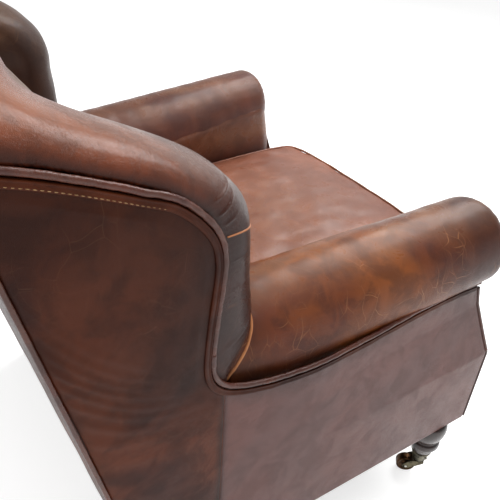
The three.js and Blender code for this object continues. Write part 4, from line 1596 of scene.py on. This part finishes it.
@dataclass
class Arms:
    """The rolled arms: roll, inside face, sloping front facing and its piping."""

    shop: Workshop
    rear: float = 0.124
    front: float = -0.386
    rounding: float = 0.030
    run: float = 0.466
    straight_rings: int = 120
    bend_rings: int = 13
    face_rings: int = 12
    pleats: int = 26

    def middle_of(self, y: np.ndarray) -> tuple[np.ndarray, np.ndarray, np.ndarray]:
        """The roll's middle and radius: it tapers, splays and rises forwards.

        Args:
            y: Depth.

        Returns:
            Distance out, height and radius.
        """
        t = (0.066 - y) / self.run
        return 0.293 + 0.018 * t, 0.5055 + 0.0305 * t, 0.0815 * (1 - 0.165 * t)

    def roll(self, side: Side) -> bpy.types.Object:
        """The roll: rings along the arm, rounded over at the front and gathered to a middle button-fold.

        A ring's point is the middle plus the radius times (cos, sin). At the front the radius
        drops by rounding * (1 - cos) while the depth goes on by rounding * sin, and then it runs
        to nothing across the flat end, with pleats that are a sine wave of the turn.

        Args:
            side: Which side.

        Returns:
            The piece.
        """
        turn = np.linspace(0, 2 * math.pi, 145)[None]
        straight = np.linspace(self.rear, self.front + self.rounding, self.straight_rings)
        bend = np.linspace(0, math.pi / 2, self.bend_rings + 1)[1:]
        bent_y = self.front + self.rounding * (1 - np.sin(bend))
        y = np.concatenate([[self.rear], straight, bent_y, np.full(self.face_rings, self.front)])[:, None]
        cx, cz, radius = self.middle_of(y)
        flat = radius[-1, 0] - self.rounding
        first = 1 + self.straight_rings
        rounded = radius[first:first + self.bend_rings, 0] - self.rounding * (1 - np.cos(bend))
        face = flat * np.linspace(1, 0, self.face_rings + 1)[1:]
        size = np.concatenate([[0.0], radius[1:first, 0], rounded, face])[:, None]
        share = np.clip(size / flat, 0, 1.6)
        gathered = np.linspace(0, 1, self.bend_rings) ** 1.5
        end = np.concatenate([np.zeros(first), gathered, np.linspace(1, 0.2, self.face_rings)])[:, None]
        pleats = 0.0013 * np.sin(self.pleats * turn + 1.2 * np.sin(3 * turn)) * end
        soft = 0.0014 * ripple(y / 0.22, turn / 2.6, 19) + 0.0006 * ripple(y / 0.05, turn / 1.2, 23)
        soft = soft * np.sin(turn / 2) ** 0.5
        fade = ramp(size, 0.03)
        under = 0.0062 * around(turn, 5.72, 0.55) * ramp(0.075 - y, 0.04)
        r = size + ((soft * 0.6 + under) * fade) * (size > 0.01) + pleats * (size > 0.002)
        dip = 0.006 * (1 - np.clip(share, 0, 1)) * (y <= self.front + 1e-6)
        x = cx + r * np.cos(turn)
        z = cz + r * np.sin(turn)
        depth = y + dip + 0.0012 * np.sin(self.pleats * turn) * end * (share < 1.0)
        # Painted shade: a dark band just below the roll's outermost line (turn 6.22) and on its underside by
        # the piping (turn 5.20).
        seam_and_lower_shade = around(turn, 5.20, 0.22) + 0.6 * around(turn, 6.22, 0.34)
        edge = np.maximum(0.75 * seam_and_lower_shade, 0.35 * end) + 0 * turn
        wear_and_sheen = around(turn, 1.75, 0.65) * (0.5 + 0.5 * ripple(y / 0.16, turn / 0.9, 29))
        # Painted reflection: a pale band along the roll's underside, where the floor's light shows, carried
        # in the wear mask.
        wear_and_sheen = wear_and_sheen + 0.7 * around(turn, 5.72, 0.16) * ramp(y + 0.34, 0.08)
        edge = edge + 0.55 * ramp(y - 0.055, 0.03)
        sheet = Sheet(placed(side, x, depth, z), np.clip(edge, 0, 1), np.clip(wear_and_sheen, 0, 1))
        piece = build(f"arm_roll_{side.label}", [sheet])
        finish = "arm" if side is Side.RIGHT else "far_arm"
        return self.shop.fit(piece, finish, "leather_worn", replaces=[f"arm_pad_{side.label}"], fill=0.85)

    def front_edge(self, z: np.ndarray) -> np.ndarray:
        """Depth of the inside face's front edge: almost upright, flush with the roll's front.

        Args:
            z: Height.

        Returns:
            The depth.
        """
        return -0.398 + 0.024 * ramp(z - 0.40, 0.15)

    def inside(self, side: Side) -> bpy.types.Object:
        """The inside face below the roll, slightly full, turned over at its front edge.

        Args:
            side: Which side.

        Returns:
            The piece.
        """
        v = np.linspace(0, 1, 70)[:, None]
        u = np.linspace(0, 1, 110)[None]
        z = 0.334 + (0.540 - 0.334) * v + 0 * u
        y = 0.185 + (self.front_edge(z) - 0.185) * u
        cx, cz, radius = self.middle_of(y)
        drop = np.clip((z - 0.450) / (cz - 0.450), 0, 1)
        drop = drop * drop * (3 - 2 * drop)
        tuck = np.maximum(z - cz, 0)
        overhang = cx - np.sqrt(np.maximum(radius**2 - (1.2 * tuck) ** 2, 0)) - 0.0015 + 0.25 * tuck
        crown = 0.003 * np.sin(math.pi * np.clip(v * 1.3, 0, 1)) * ramp(1 - u, 0.06) ** 0.5
        x = INSIDE_X + (overhang - INSIDE_X) * drop - crown
        x = x + 0.012 * falloff(1 - u, 0.04) ** 2 + 0.0007 * ripple(y / 0.14, z / 0.09, 37)
        inner = placed(side, x + 0.024, y + 0.004 * u, z)
        # Painted shade: the inside face darkens down towards the seat.
        edge = falloff(z - 0.334, 0.10) * 0.7
        wear_and_sheen = hump(z, 0.50, 0.03)
        piece = shell(f"arm_inside_{side.label}", placed(side, x, y, z), inner, edge, wear_and_sheen)
        return self.shop.fit(piece, "far_arm", "leather_worn", fill=0.7)

    def facing(self, side: Side) -> None:
        """The sloping front of the arm below the roll, and the piping round it.

        Args:
            side: Which side.
        """
        v = np.linspace(0, 1, 60)[:, None]
        u = np.linspace(0, 1, 60)[None]
        z = 0.3255 + (0.466 - 0.3255) * v + 0 * u
        inner_x = INSIDE_X + 0.016 * ramp(z - 0.42, 0.045)
        outer_x = SIDE_X - 0.003 - lean(facing_y(z), z)
        x = inner_x + (outer_x - inner_x) * u
        bulge = 0.006 * (np.sin(math.pi * u) * np.sin(math.pi * np.clip(v, 0.02, 1) ** 0.8)) ** 0.5
        back = facing_y(z)
        y = back + (self.front_edge(z) + 0.002 - back) * (1 - u) ** 1.5
        y = y - bulge + 0.0008 * ripple(x / 0.07, z / 0.06, 41)
        piece = shell(f"arm_front_{side.label}", placed(side, x, y, z), placed(side, x, y + 0.006 + bulge, z),
                      np.clip(1 - np.minimum(u, 1 - u) / 0.15, 0, 1) ** 2)
        self.shop.fit(piece, "skirt", "leather_dark", replaces=[f"arm_facing_{side.label}"])
        z = np.linspace(0.327, 0.474, 60)
        for name, x, y in (
            ("outer", SIDE_X - 0.003 - lean(facing_y(z), z), facing_y(z)),
            ("inner", 0.2385 + 0.016 * ramp(z - 0.42, 0.045), self.front_edge(z) + 0.001),
        ):
            path = placed(side, x, y - 0.0005, z)
            cord = welt(f"arm_front_piping_{name}_{side.label}", path, 0.0028, 14)
            self.shop.fit(cord, "piping", "leather_dark")

    def make(self) -> None:
        """Builds both arms."""
        for side in Side:
            self.roll(side)
            self.inside(side)
            self.facing(side)


# ------------------------------------------------------------------ padded pieces


def points_of(piece: bpy.types.Object) -> np.ndarray:
    """A piece's points.

    Args:
        piece: The object.

    Returns:
        Its points, one a row.
    """
    points = np.zeros(len(piece.data.vertices) * 3, np.float32)
    piece.data.vertices.foreach_get("co", points)
    return points.reshape(-1, 3).astype(float)


def move_points(piece: bpy.types.Object, points: np.ndarray) -> None:
    """Puts a piece's points in new places.

    Args:
        piece: The object.
        points: The places, one a row.
    """
    piece.data.vertices.foreach_set("co", points.astype(np.float32).ravel())


def mask_points(piece: bpy.types.Object, edge: np.ndarray, wear_and_sheen: np.ndarray) -> None:
    """Writes a piece's two masks afresh.

    Args:
        piece: The object.
        edge: Mask of how near a seam each point is; on some pieces it also carries painted shade.
        wear_and_sheen: Mask of how rubbed each point is; on the arm roll and the wing it also carries painted
            reflection and highlight.
    """
    known = piece.data.attributes
    for key, values in (("edge", edge), ("wear_and_sheen", wear_and_sheen)):
        if key in known:
            known.remove(known[key])
        known.new(key, "FLOAT", "POINT").data.foreach_set("value", values.astype(np.float32))


@dataclass
class Stuffing:
    """Blows up a plain closed form as a stuffed cover: remeshed, swollen by pressure, then smoothed."""

    voxel: float = 0.0055
    pressure: float = 4.0
    cap: float = 0.022
    frames: int = 18

    def swell(self, piece: bpy.types.Object, held: Callable[[np.ndarray], np.ndarray]) -> bpy.types.Object:
        """Runs the simulation and keeps its result in the mesh.

        Args:
            piece: The closed form, a little smaller than the finished one.
            held: Gives 1 where the cover is sewn fast and 0 where it is free, from the points.

        Returns:
            The piece, smooth.
        """
        remesh = piece.modifiers.new("even", "REMESH")
        remesh.mode, remesh.voxel_size, remesh.use_smooth_shade = "VOXEL", self.voxel, True
        self.apply(piece, "even")
        rest = points_of(piece)
        fixed = piece.vertex_groups.new(name="sewn")
        weight = held(rest)
        for number in np.nonzero(weight > 0.02)[0].tolist():
            fixed.add([number], float(weight[number]), "REPLACE")
        cloth = piece.modifiers.new("cover", "CLOTH")
        settings = cloth.settings
        settings.quality, settings.mass = 4, 0.4
        settings.tension_stiffness = settings.compression_stiffness = 12
        settings.bending_stiffness = 1.5
        settings.use_pressure, settings.uniform_pressure_force = True, self.pressure
        settings.effector_weights.gravity = 0.0
        settings.vertex_group_mass = "sewn"
        cloth.collision_settings.use_collision = False
        scene = bpy.context.scene
        cloth.point_cache.frame_start, cloth.point_cache.frame_end = 1, self.frames
        for number in range(1, self.frames + 1):
            scene.frame_set(number)
        self.apply(piece, "cover")
        scene.frame_set(1)
        move = points_of(piece) - rest
        size = np.linalg.norm(move, axis=1, keepdims=True)
        move *= np.minimum(1, self.cap / np.maximum(size, 1e-9))
        move_points(piece, rest + move)
        piece.vertex_groups.clear()
        smooth = piece.modifiers.new("fine", "SUBSURF")
        smooth.levels = smooth.render_levels = 1
        self.apply(piece, "fine")
        piece.data.polygons.foreach_set("use_smooth", np.ones(len(piece.data.polygons), bool))
        return piece

    def apply(self, piece: bpy.types.Object, name: str) -> None:
        """Applies one modifier by keeping the evaluated mesh.

        Args:
            piece: The object.
            name: The modifier's name.
        """
        graph = bpy.context.evaluated_depsgraph_get()
        result = bpy.data.meshes.new_from_object(piece.evaluated_get(graph))
        piece.modifiers.remove(piece.modifiers[name])
        old = piece.data
        piece.data = result
        bpy.data.meshes.remove(old)


@dataclass
class SeatCushion:
    """The loose seat cushion: a stuffed box with piped seams top and bottom."""

    shop: Workshop
    half: float = 0.2215
    front: float = -0.446
    rear: float = 0.108
    bottom: float = 0.3325
    top: float = 0.450
    crown: float = 0.466

    def plan(self, u: np.ndarray, v: np.ndarray, grow: float = 0.0) -> tuple[np.ndarray, np.ndarray]:
        """The cushion's outline, wider at the front, its corners drawn in, its sides a little hollow.

        Args:
            u: Sideways, from -1 to 1.
            v: From -1 at the front to 1 at the rear.
            grow: How far outside the outline.

        Returns:
            x and y.
        """
        middle_y, half_y = (self.front + self.rear) / 2, (self.rear - self.front) / 2
        corner = 1 - 0.07 * u**4 * v**4
        width = self.half + FLARE * half_y * (1 - v) + grow
        return width * u * corner, middle_y + (half_y + grow) * v * corner

    def make(self) -> None:
        """Builds the cushion and its piping."""
        grid = np.linspace(-1, 1, 25)
        u, v = np.meshgrid(grid, grid, indexing="ij")
        x, y = self.plan(u, v, -0.001)
        fall = (1 - u**4) * (1 - v**4)
        upper = middle(x, y, self.top - 0.002 + (self.crown - self.top - 0.006) * fall)
        lower = middle(x, y, self.bottom + 0.002 + 0.004 * (1 - fall))
        piece = shell("seat_cover", upper, lower)
        low, high = self.bottom + 0.008, self.top - 0.005

        def held(points: np.ndarray) -> np.ndarray:
            """Sewn along both seams and flat underneath where it rests.

            Args:
                points: The cover's points.

            Returns:
                How fast each is held.
            """
            seam = np.maximum(hump(points[:, 2], high, 0.006), hump(points[:, 2], low, 0.007))
            xs, ys = np.abs(points[:, 0]), points[:, 1] - DATUM_Y
            width = self.half - 0.004 + FLARE * (self.rear - ys)
            rim = np.minimum(width - xs, np.minimum(ys - self.front, self.rear - ys))
            return np.clip(seam * (rim < 0.02) + (points[:, 2] < self.bottom + 0.010), 0, 1)

        Stuffing(cap=0.020).swell(piece, held)
        points = points_of(piece)
        high_z, low_z = self.crown - 0.002, self.bottom
        ys = points[:, 1] - DATUM_Y
        dip = 0.006 * hump(points[:, 0], 0.02, 0.11) * hump(ys, -0.12, 0.13) * (points[:, 2] > 0.44)
        fold = 0.0011 * ripple(points[:, 0] / 0.12, ys / 0.09, 51)
        fold = fold + 0.0007 * ripple(points[:, 0] / 0.05, ys / 0.2, 53)
        points[:, 2] += (fold - dip) * (points[:, 2] > 0.44)
        points[:, 2] = np.clip(points[:, 2], low_z, high_z)
        points[:, 1] = np.clip(points[:, 1], self.front - 0.006 + DATUM_Y, self.rear + 0.006 + DATUM_Y)
        move_points(piece, points)
        top_face = (points[:, 2] > 0.44).astype(float)
        wear_and_sheen = top_face * np.clip(hump(ys, -0.18, 0.22) * hump(points[:, 0], 0, 0.2), 0, 1)
        edge = 0.8 * ramp(ys - 0.02, 0.08) + 0.5 * (1 - top_face)
        mask_points(piece, np.clip(edge, 0, 1), wear_and_sheen)
        self.shop.fit(piece, "seat", "leather_seat", replaces=["seat_cushion"], fill=0.75)
        for name, z in (("top", self.top - 0.003), ("bottom", self.bottom + 0.009)):
            loop = self.seam_round(points, z)
            loop[:, 2] += 0.0005 * ripple(np.linspace(0, 24, len(loop)), 0.0, 61)
            self.shop.fit(welt(f"seat_piping_{name}", loop, 0.0024, 15), "seat", "leather_seat",
                          replaces=[f"cushion_welt_{name}"])

    def seam_round(self, points: np.ndarray, z: float, count: int = 420) -> np.ndarray:
        """A closed loop round the swollen cover at one height.

        Of a thin slice, the point furthest out in each direction is kept; the outline through
        them is read at even steps and smoothed by a running mean.

        Args:
            points: The cover's points.
            z: The loop's height.
            count: How many points it has.

        Returns:
            The loop.
        """
        thin = points[np.abs(points[:, 2] - z) < 0.007][:, :2]
        turn = np.linspace(-math.pi, math.pi, 900)
        furthest = (thin @ np.stack([np.cos(turn), np.sin(turn)])).argmax(0)
        kept = furthest[np.concatenate([[True], np.diff(furthest) != 0])]
        outline = thin[np.append(kept, kept[0])]
        run = np.concatenate([[0], np.cumsum(np.linalg.norm(np.diff(outline, axis=0), axis=1))])
        steps = np.linspace(0, run[-1], count)[:-1]
        even = np.stack([np.interp(steps, run, outline[:, k]) for k in (0, 1)], -1)
        even = sum(np.roll(even, k, 0) for k in range(-3, 4)) / 7
        return np.append(even, even[:1], 0) @ np.eye(2, 3) + np.array([0, 0, z])


@dataclass
class BackPieces:
    """The inside back's stuffed pad, the outside back, and the border across the front."""

    shop: Workshop
    half: float = 0.2255

    def inside(self) -> None:
        """The inside back: a stuffed slab between the wings, leaning with the back."""
        grid = np.linspace(-1, 1, 21)
        u, v = np.meshgrid(grid, grid, indexing="ij")
        x = (self.half - 0.002) * u * (1 - 0.02 * v**4)
        z = 0.595 + 0.258 * v * (1 - 0.02 * u**4)
        ease = ramp(z - 0.74, 0.13) ** 1.5
        front = rear_face(z) - 0.147 + 0.045 * ease - 0.010 * (1 - u**4) * (1 - v**4)
        piece = shell("back_inside_cover", middle(x, front, z), middle(x, rear_face(z) - 0.074, z))

        def held(points: np.ndarray) -> np.ndarray:
            """Sewn fast along its rear face and sides.

            Args:
                points: The cover's points.

            Returns:
                How fast each is held.
            """
            depth = points[:, 1] - DATUM_Y - rear_face(points[:, 2])
            return ramp(depth + 0.120, 0.03)

        Stuffing(voxel=0.006, cap=0.020).swell(piece, held)
        points = points_of(piece)
        depth = points[:, 1] - DATUM_Y - rear_face(points[:, 2])
        front_face = ramp(-depth - 0.13, 0.02)
        points[:, 1] += front_face * 0.002 * ripple(points[:, 0] / 0.15, points[:, 2] / 0.2, 71)
        points[:, 0] = np.clip(points[:, 0], -self.half - 0.004, self.half + 0.004)
        points[:, 1] = np.maximum(points[:, 1], DATUM_Y + rear_face(points[:, 2]) - 0.172)
        move_points(piece, points)
        height = points[:, 2]
        mask_points(piece, ramp(0.40 - height, 0.05), hump(height, 0.72, 0.12))
        self.shop.fit(piece, "back", "leather_dark", fill=0.7)

    def outside(self) -> None:
        """The outside back: leather drawn over the frame, rounded over at its border, with piping."""
        v = np.linspace(0, 1, 130)[:, None]
        u = np.linspace(-1, 1, 120)[None]
        z = BODY_BOTTOM + 0.001 + (arch(u) - BODY_BOTTOM - 0.001) * v
        x = (SIDE_X - FLARE * rear_face(z) - 0.0015) * u
        near = np.minimum(1 - np.abs(u), np.minimum(v, 1 - v) * 1.6)
        crown = 0.0045 * ramp(near, 0.15) ** 0.6
        y = rear_face(z) - 0.002 - 0.0035 * falloff(near, 0.02) ** 2 + crown
        y = y + 0.0012 * ripple(x / 0.2, z / 0.17, 81) * ramp(near, 0.1)
        piece = shell("back_outside_leather", middle(x, y, z), middle(x, rear_face(z) - 0.0055, z),
                      falloff(near, 0.06) ** 2)
        self.shop.fit(piece, "side", "leather_dark", replaces=["outside_back_panel"])
        line = np.linspace(-1, 1, 160)
        z = arch(line) + 0.001
        path = middle((SIDE_X - FLARE * rear_face(z) - 0.002) * line, rear_face(z) - 0.001, z)
        self.shop.fit(welt("back_top_piping", path, 0.0032, 83), "piping", "leather_dark")
        for side in Side:
            z = np.linspace(BODY_BOTTOM + 0.003, 0.871, 150)
            rise = placed(side, SIDE_X - 0.002, rear_face(z) - 0.0015, z)
            cord = welt(f"back_side_piping_{side.label}", rise, 0.0030, 84 + side.value)
            self.shop.fit(cord, "piping", "leather_dark")

    def border(self) -> None:
        """The border across the front, full in the middle, with piping along its top."""
        half = SIDE_X + FLARE * -FRONT_Y - 0.001
        v = np.linspace(0, 1, 60)[:, None]
        u = np.linspace(-1, 1, 170)[None]
        z = BODY_BOTTOM + 0.0005 + (0.3215 - BODY_BOTTOM - 0.0005) * v + 0 * u
        x = half * u + 0 * z
        near = np.minimum((1 - np.abs(u)) * half, np.minimum(v, 1 - v) * 0.165)
        y = FRONT_Y - 0.001 - 0.022 * ramp(near, 0.022) ** 0.5
        y = y + 0.0010 * ripple(x / 0.14, z / 0.09, 91) * ramp(near, 0.03)
        piece = shell("front_border_leather", middle(x, y, z), middle(x, FRONT_Y + 0.001, z),
                      falloff(near, 0.02) ** 2)
        self.shop.fit(piece, "skirt", "leather_dark", replaces=["front_border"])
        x = np.linspace(-half + 0.004, half - 0.004, 200)
        path = middle(x, -0.404, 0.3235 + 0 * x)
        self.shop.fit(welt("front_border_piping", path, 0.0029, 92), "piping", "leather_dark")

    def make(self) -> None:
        """Builds the back and the front."""
        self.inside()
        self.outside()
        self.border()


# ------------------------------------------------------------------ legs and casters


@dataclass
class Legs:
    """Turned front legs with their cups and screws, and the casters' wheels."""

    shop: Workshop
    x: float = 0.3745
    y: float = -0.343
    axle_turn: float = 0.74  # of the wheels' axles from straight across
    half_wheel: float = 0.0085

    TURNING: Line = (
        (0, 0.1745), (0.0235, 0.1745), (0.0235, 0.1556), (0.0290, 0.1544), (0.0322, 0.1485),
        (0.0335, 0.141), (0.0334, 0.133), (0.0320, 0.124), (0.0290, 0.1145), (0.0262, 0.1085),
        (0.0250, 0.1055), (0.0247, 0.1035), (0.0254, 0.1022), (0.0272, 0.1008), (0.0284, 0.0985),
        (0.0288, 0.0950), (0.0288, 0.0905), (0.0283, 0.0880), (0.0270, 0.0864), (0.0252, 0.0858),
        (0.0246, 0.0840), (0.0236, 0.0790), (0.0220, 0.0745), (0.0205, 0.0710), (0.0198, 0.0676),
        (0.0166, 0.0674), (0.0116, 0.0420), (0.0044, 0.0420), (0.0044, 0.0660), (0, 0.0660),
    )
    CUP_LINE: Line = (
        (0.0171, 0.0670), (0.0121, 0.0416), (0.0044, 0.0416), (0.0044, 0.0380), (0.0112, 0.0380),
        (0.0124, 0.0384), (0.0131, 0.0396), (0.0135, 0.0410), (0.0182, 0.0612), (0.0187, 0.0630),
        (0.0197, 0.0642), (0.0200, 0.0655), (0.0197, 0.0668), (0.0185, 0.0672), (0.0171, 0.0670),
    )

    def wheel(self, side: Side) -> None:
        """A caster wheel: a rounded tread and dished faces, spun about its axle.

        The profile gives radius and distance along the axle; each point is the axle's place plus
        the distance along it plus the radius times (cos, sin) square to it.

        Args:
            side: Which side.
        """
        low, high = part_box(f"caster_wheel_{side.label}")
        centre = np.array((low + high) / 2)
        radius, half = float(high.z - low.z) / 2, self.half_wheel
        turn = self.axle_turn * side.value
        axle = np.array([math.cos(turn), math.sin(turn), 0.0])
        ahead = np.array([-math.sin(turn), math.cos(turn), 0.0])
        profile = np.array([
            (0.0029, -half), (0.0066, -half), (0.0074, -half + 0.0006), (0.0088, -half + 0.0019),
            (0.0130, -half + 0.0020), (0.0145, -half + 0.0010), (0.0158, -half + 0.0001),
            (radius - 0.0012, -half + 0.0003), (radius - 0.0003, -half + 0.0012), (radius, -half + 0.0026),
            (radius, half - 0.0026), (radius - 0.0003, half - 0.0012), (radius - 0.0012, half - 0.0003),
            (0.0158, half - 0.0001), (0.0145, half - 0.0010), (0.0130, half - 0.0020),
            (0.0088, half - 0.0019), (0.0074, half - 0.0006), (0.0066, half), (0.0029, half),
            (0.0029, -half),
        ])
        spin = np.linspace(0, 2 * math.pi, 65)[None, :, None]
        radial = np.cos(spin) * ahead + np.sin(spin) * np.array([0, 0, 1.0])
        grid = centre + profile[:, None, 1:] * axle + profile[:, None, :1] * radial
        piece = build(f"caster_roller_{side.label}", [Sheet(grid)])
        node = f"caster_wheel_{side.label}"
        self.shop.fit(piece, "wheel", "aged_brass", node, [node])

    def make(self) -> None:
        """Builds the legs, cups and wheels."""
        for side in Side:
            axis = (side.value * self.x, self.y + DATUM_Y)
            leg = turned(f"turned_leg_{side.label}", self.TURNING, axis)
            self.shop.fit(leg, "leg_wood", "dark_wood", replaces=[f"front_leg_{side.label}"])
            cup = turned(f"leg_cup_{side.label}", self.CUP_LINE, axis)
            self.shop.fit(cup, "brass", "aged_brass", replaces=[f"caster_cup_{side.label}"])
            self.wheel(side)


@dataclass
class FrameFinishes:
    """Dresses the frame nodes that show as they are."""

    palette: Palette

    def make(self) -> None:
        """Gives every remaining node its finish by the record's material slot."""
        by_slot = {
            "timber_frame": "frame_wood", "dark_wood": "leg_wood", "spring_steel": "spring", "steel": "steel",
            "aged_brass": "brass", "jute": "jute", "black_cloth": "lining", "leather_dark": "side",
            "leather_worn": "arm", "leather_seat": "seat",
        }
        for part in frame["record"]["subparts"]:
            node = frame["nodes"][part["node"]]
            finish = self.palette[by_slot[part["material_slot"]]]
            if not node.material_slots:
                node.data.materials.append(finish)
            for socket in node.material_slots:
                socket.material = finish
        LOG.info("frame nodes dressed: %d", len(frame["nodes"]))


# ------------------------------------------------------------------ studio


@dataclass
class Studio:
    """The floor, the soft lights and the camera."""

    lens: float = 45.42
    right: Place = (-0.5627, -0.8250, 0.0525)
    up: Place = (0.5003, -0.2894, 0.8161)
    forward: Place = (0.6581, -0.4855, -0.5756)
    eye: Place = (-0.8104, 0.4320, 1.0888)

    def camera(self) -> None:
        """Sets the camera by its three directions."""
        data = bpy.data.cameras.new("camera")
        data.lens, data.sensor_width = self.lens, 36.0
        data.clip_start, data.clip_end = 0.02, 60.0
        camera = bpy.data.objects.new("camera", data)
        bpy.context.scene.collection.objects.link(camera)
        turn = Matrix((self.right, self.up, tuple(-v for v in self.forward))).transposed()
        stand = Matrix.Translation((self.eye[0], self.eye[1] + DATUM_Y, self.eye[2]))
        camera.matrix_world = stand @ turn.to_4x4()
        bpy.context.scene.camera = camera

    def light(self, name: str, place: Place, aim: Place, size: float, power: float) -> None:
        """One soft square light.

        Args:
            name: Its name.
            place: Where it hangs.
            aim: What it points at.
            size: Its side.
            power: Watts.
        """
        data = bpy.data.lights.new(name, "AREA")
        data.shape, data.size, data.energy = "SQUARE", size, power
        lamp = bpy.data.objects.new(name, data)
        bpy.context.scene.collection.objects.link(lamp)
        lamp.location = place
        way = np.array(aim) - np.array(place)
        lamp.rotation_mode = "QUATERNION"
        lamp.rotation_quaternion = Vector(way.tolist()).to_track_quat("-Z", "Y")

    def make(self) -> None:
        """Builds the floor, the white surroundings, the lights and the camera."""
        scene = bpy.context.scene
        scene.view_settings.view_transform = "Standard"
        world = bpy.data.worlds.new("studio")
        world.use_nodes = True
        background = world.node_tree.nodes["Background"].inputs
        background[0].default_value = (1.0, 1.0, 1.0, 1.0)
        sky = Graph(world.node_tree)
        height = sky.node("SeparateXYZ", {0: sky.node("TexCoord").outputs["Generated"]}).outputs[2]
        strength = sky.span(height, 0.06, 0.34, 0.95, 0.28)
        world.node_tree.links.new(strength, background[1])
        scene.world = world
        mesh = bpy.data.meshes.new("floor")
        mesh.from_pydata([(-9, -9, 0), (9, -9, 0), (9, 9, 0), (-9, 9, 0)], [], [(0, 1, 2, 3)])
        floor = bpy.data.objects.new("floor", mesh)
        scene.collection.objects.link(floor)
        material, g, shader, where = started("floor_pale", specular=0.2)
        cloud = g.span(g.noise(where, 2.0, 2.0), 0.3, 0.7, 0.0, 0.02)
        pale = g.mix(cloud, (0.90, 0.90, 0.90, 1.0), (0.84, 0.84, 0.84, 1.0))
        g.tree.links.new(pale, shader.inputs["Base Color"])
        shader.inputs["Roughness"].default_value = 0.7
        shader.inputs["Emission Color"].default_value = (1.0, 1.0, 1.0, 1.0)
        shader.inputs["Emission Strength"].default_value = 0.66
        mesh.materials.append(material)
        self.light("key", (-0.75, 0.55, 2.6), (-0.2, 0.0, 0.6), 1.1, 20)
        self.light("window", (0.62, -1.85, 2.6), (-0.25, 0.15, 0.8), 1.7, 80)
        self.camera()


def main() -> None:
    """Builds the chair's looks in order, then the studio, and notes the sizes."""
    logging.basicConfig(level=logging.INFO, format="%(name)s: %(message)s")
    palette = Palette(Effects())
    shop = Workshop(palette)
    FrameFinishes(palette).make()
    SidePanels(shop).make()
    Border(shop).make()
    Arms(shop).make()
    BackPieces(shop).make()
    SeatCushion(shop).make()
    Legs(shop).make()
    Studio().make()


if __name__ == "__main__":
    main()
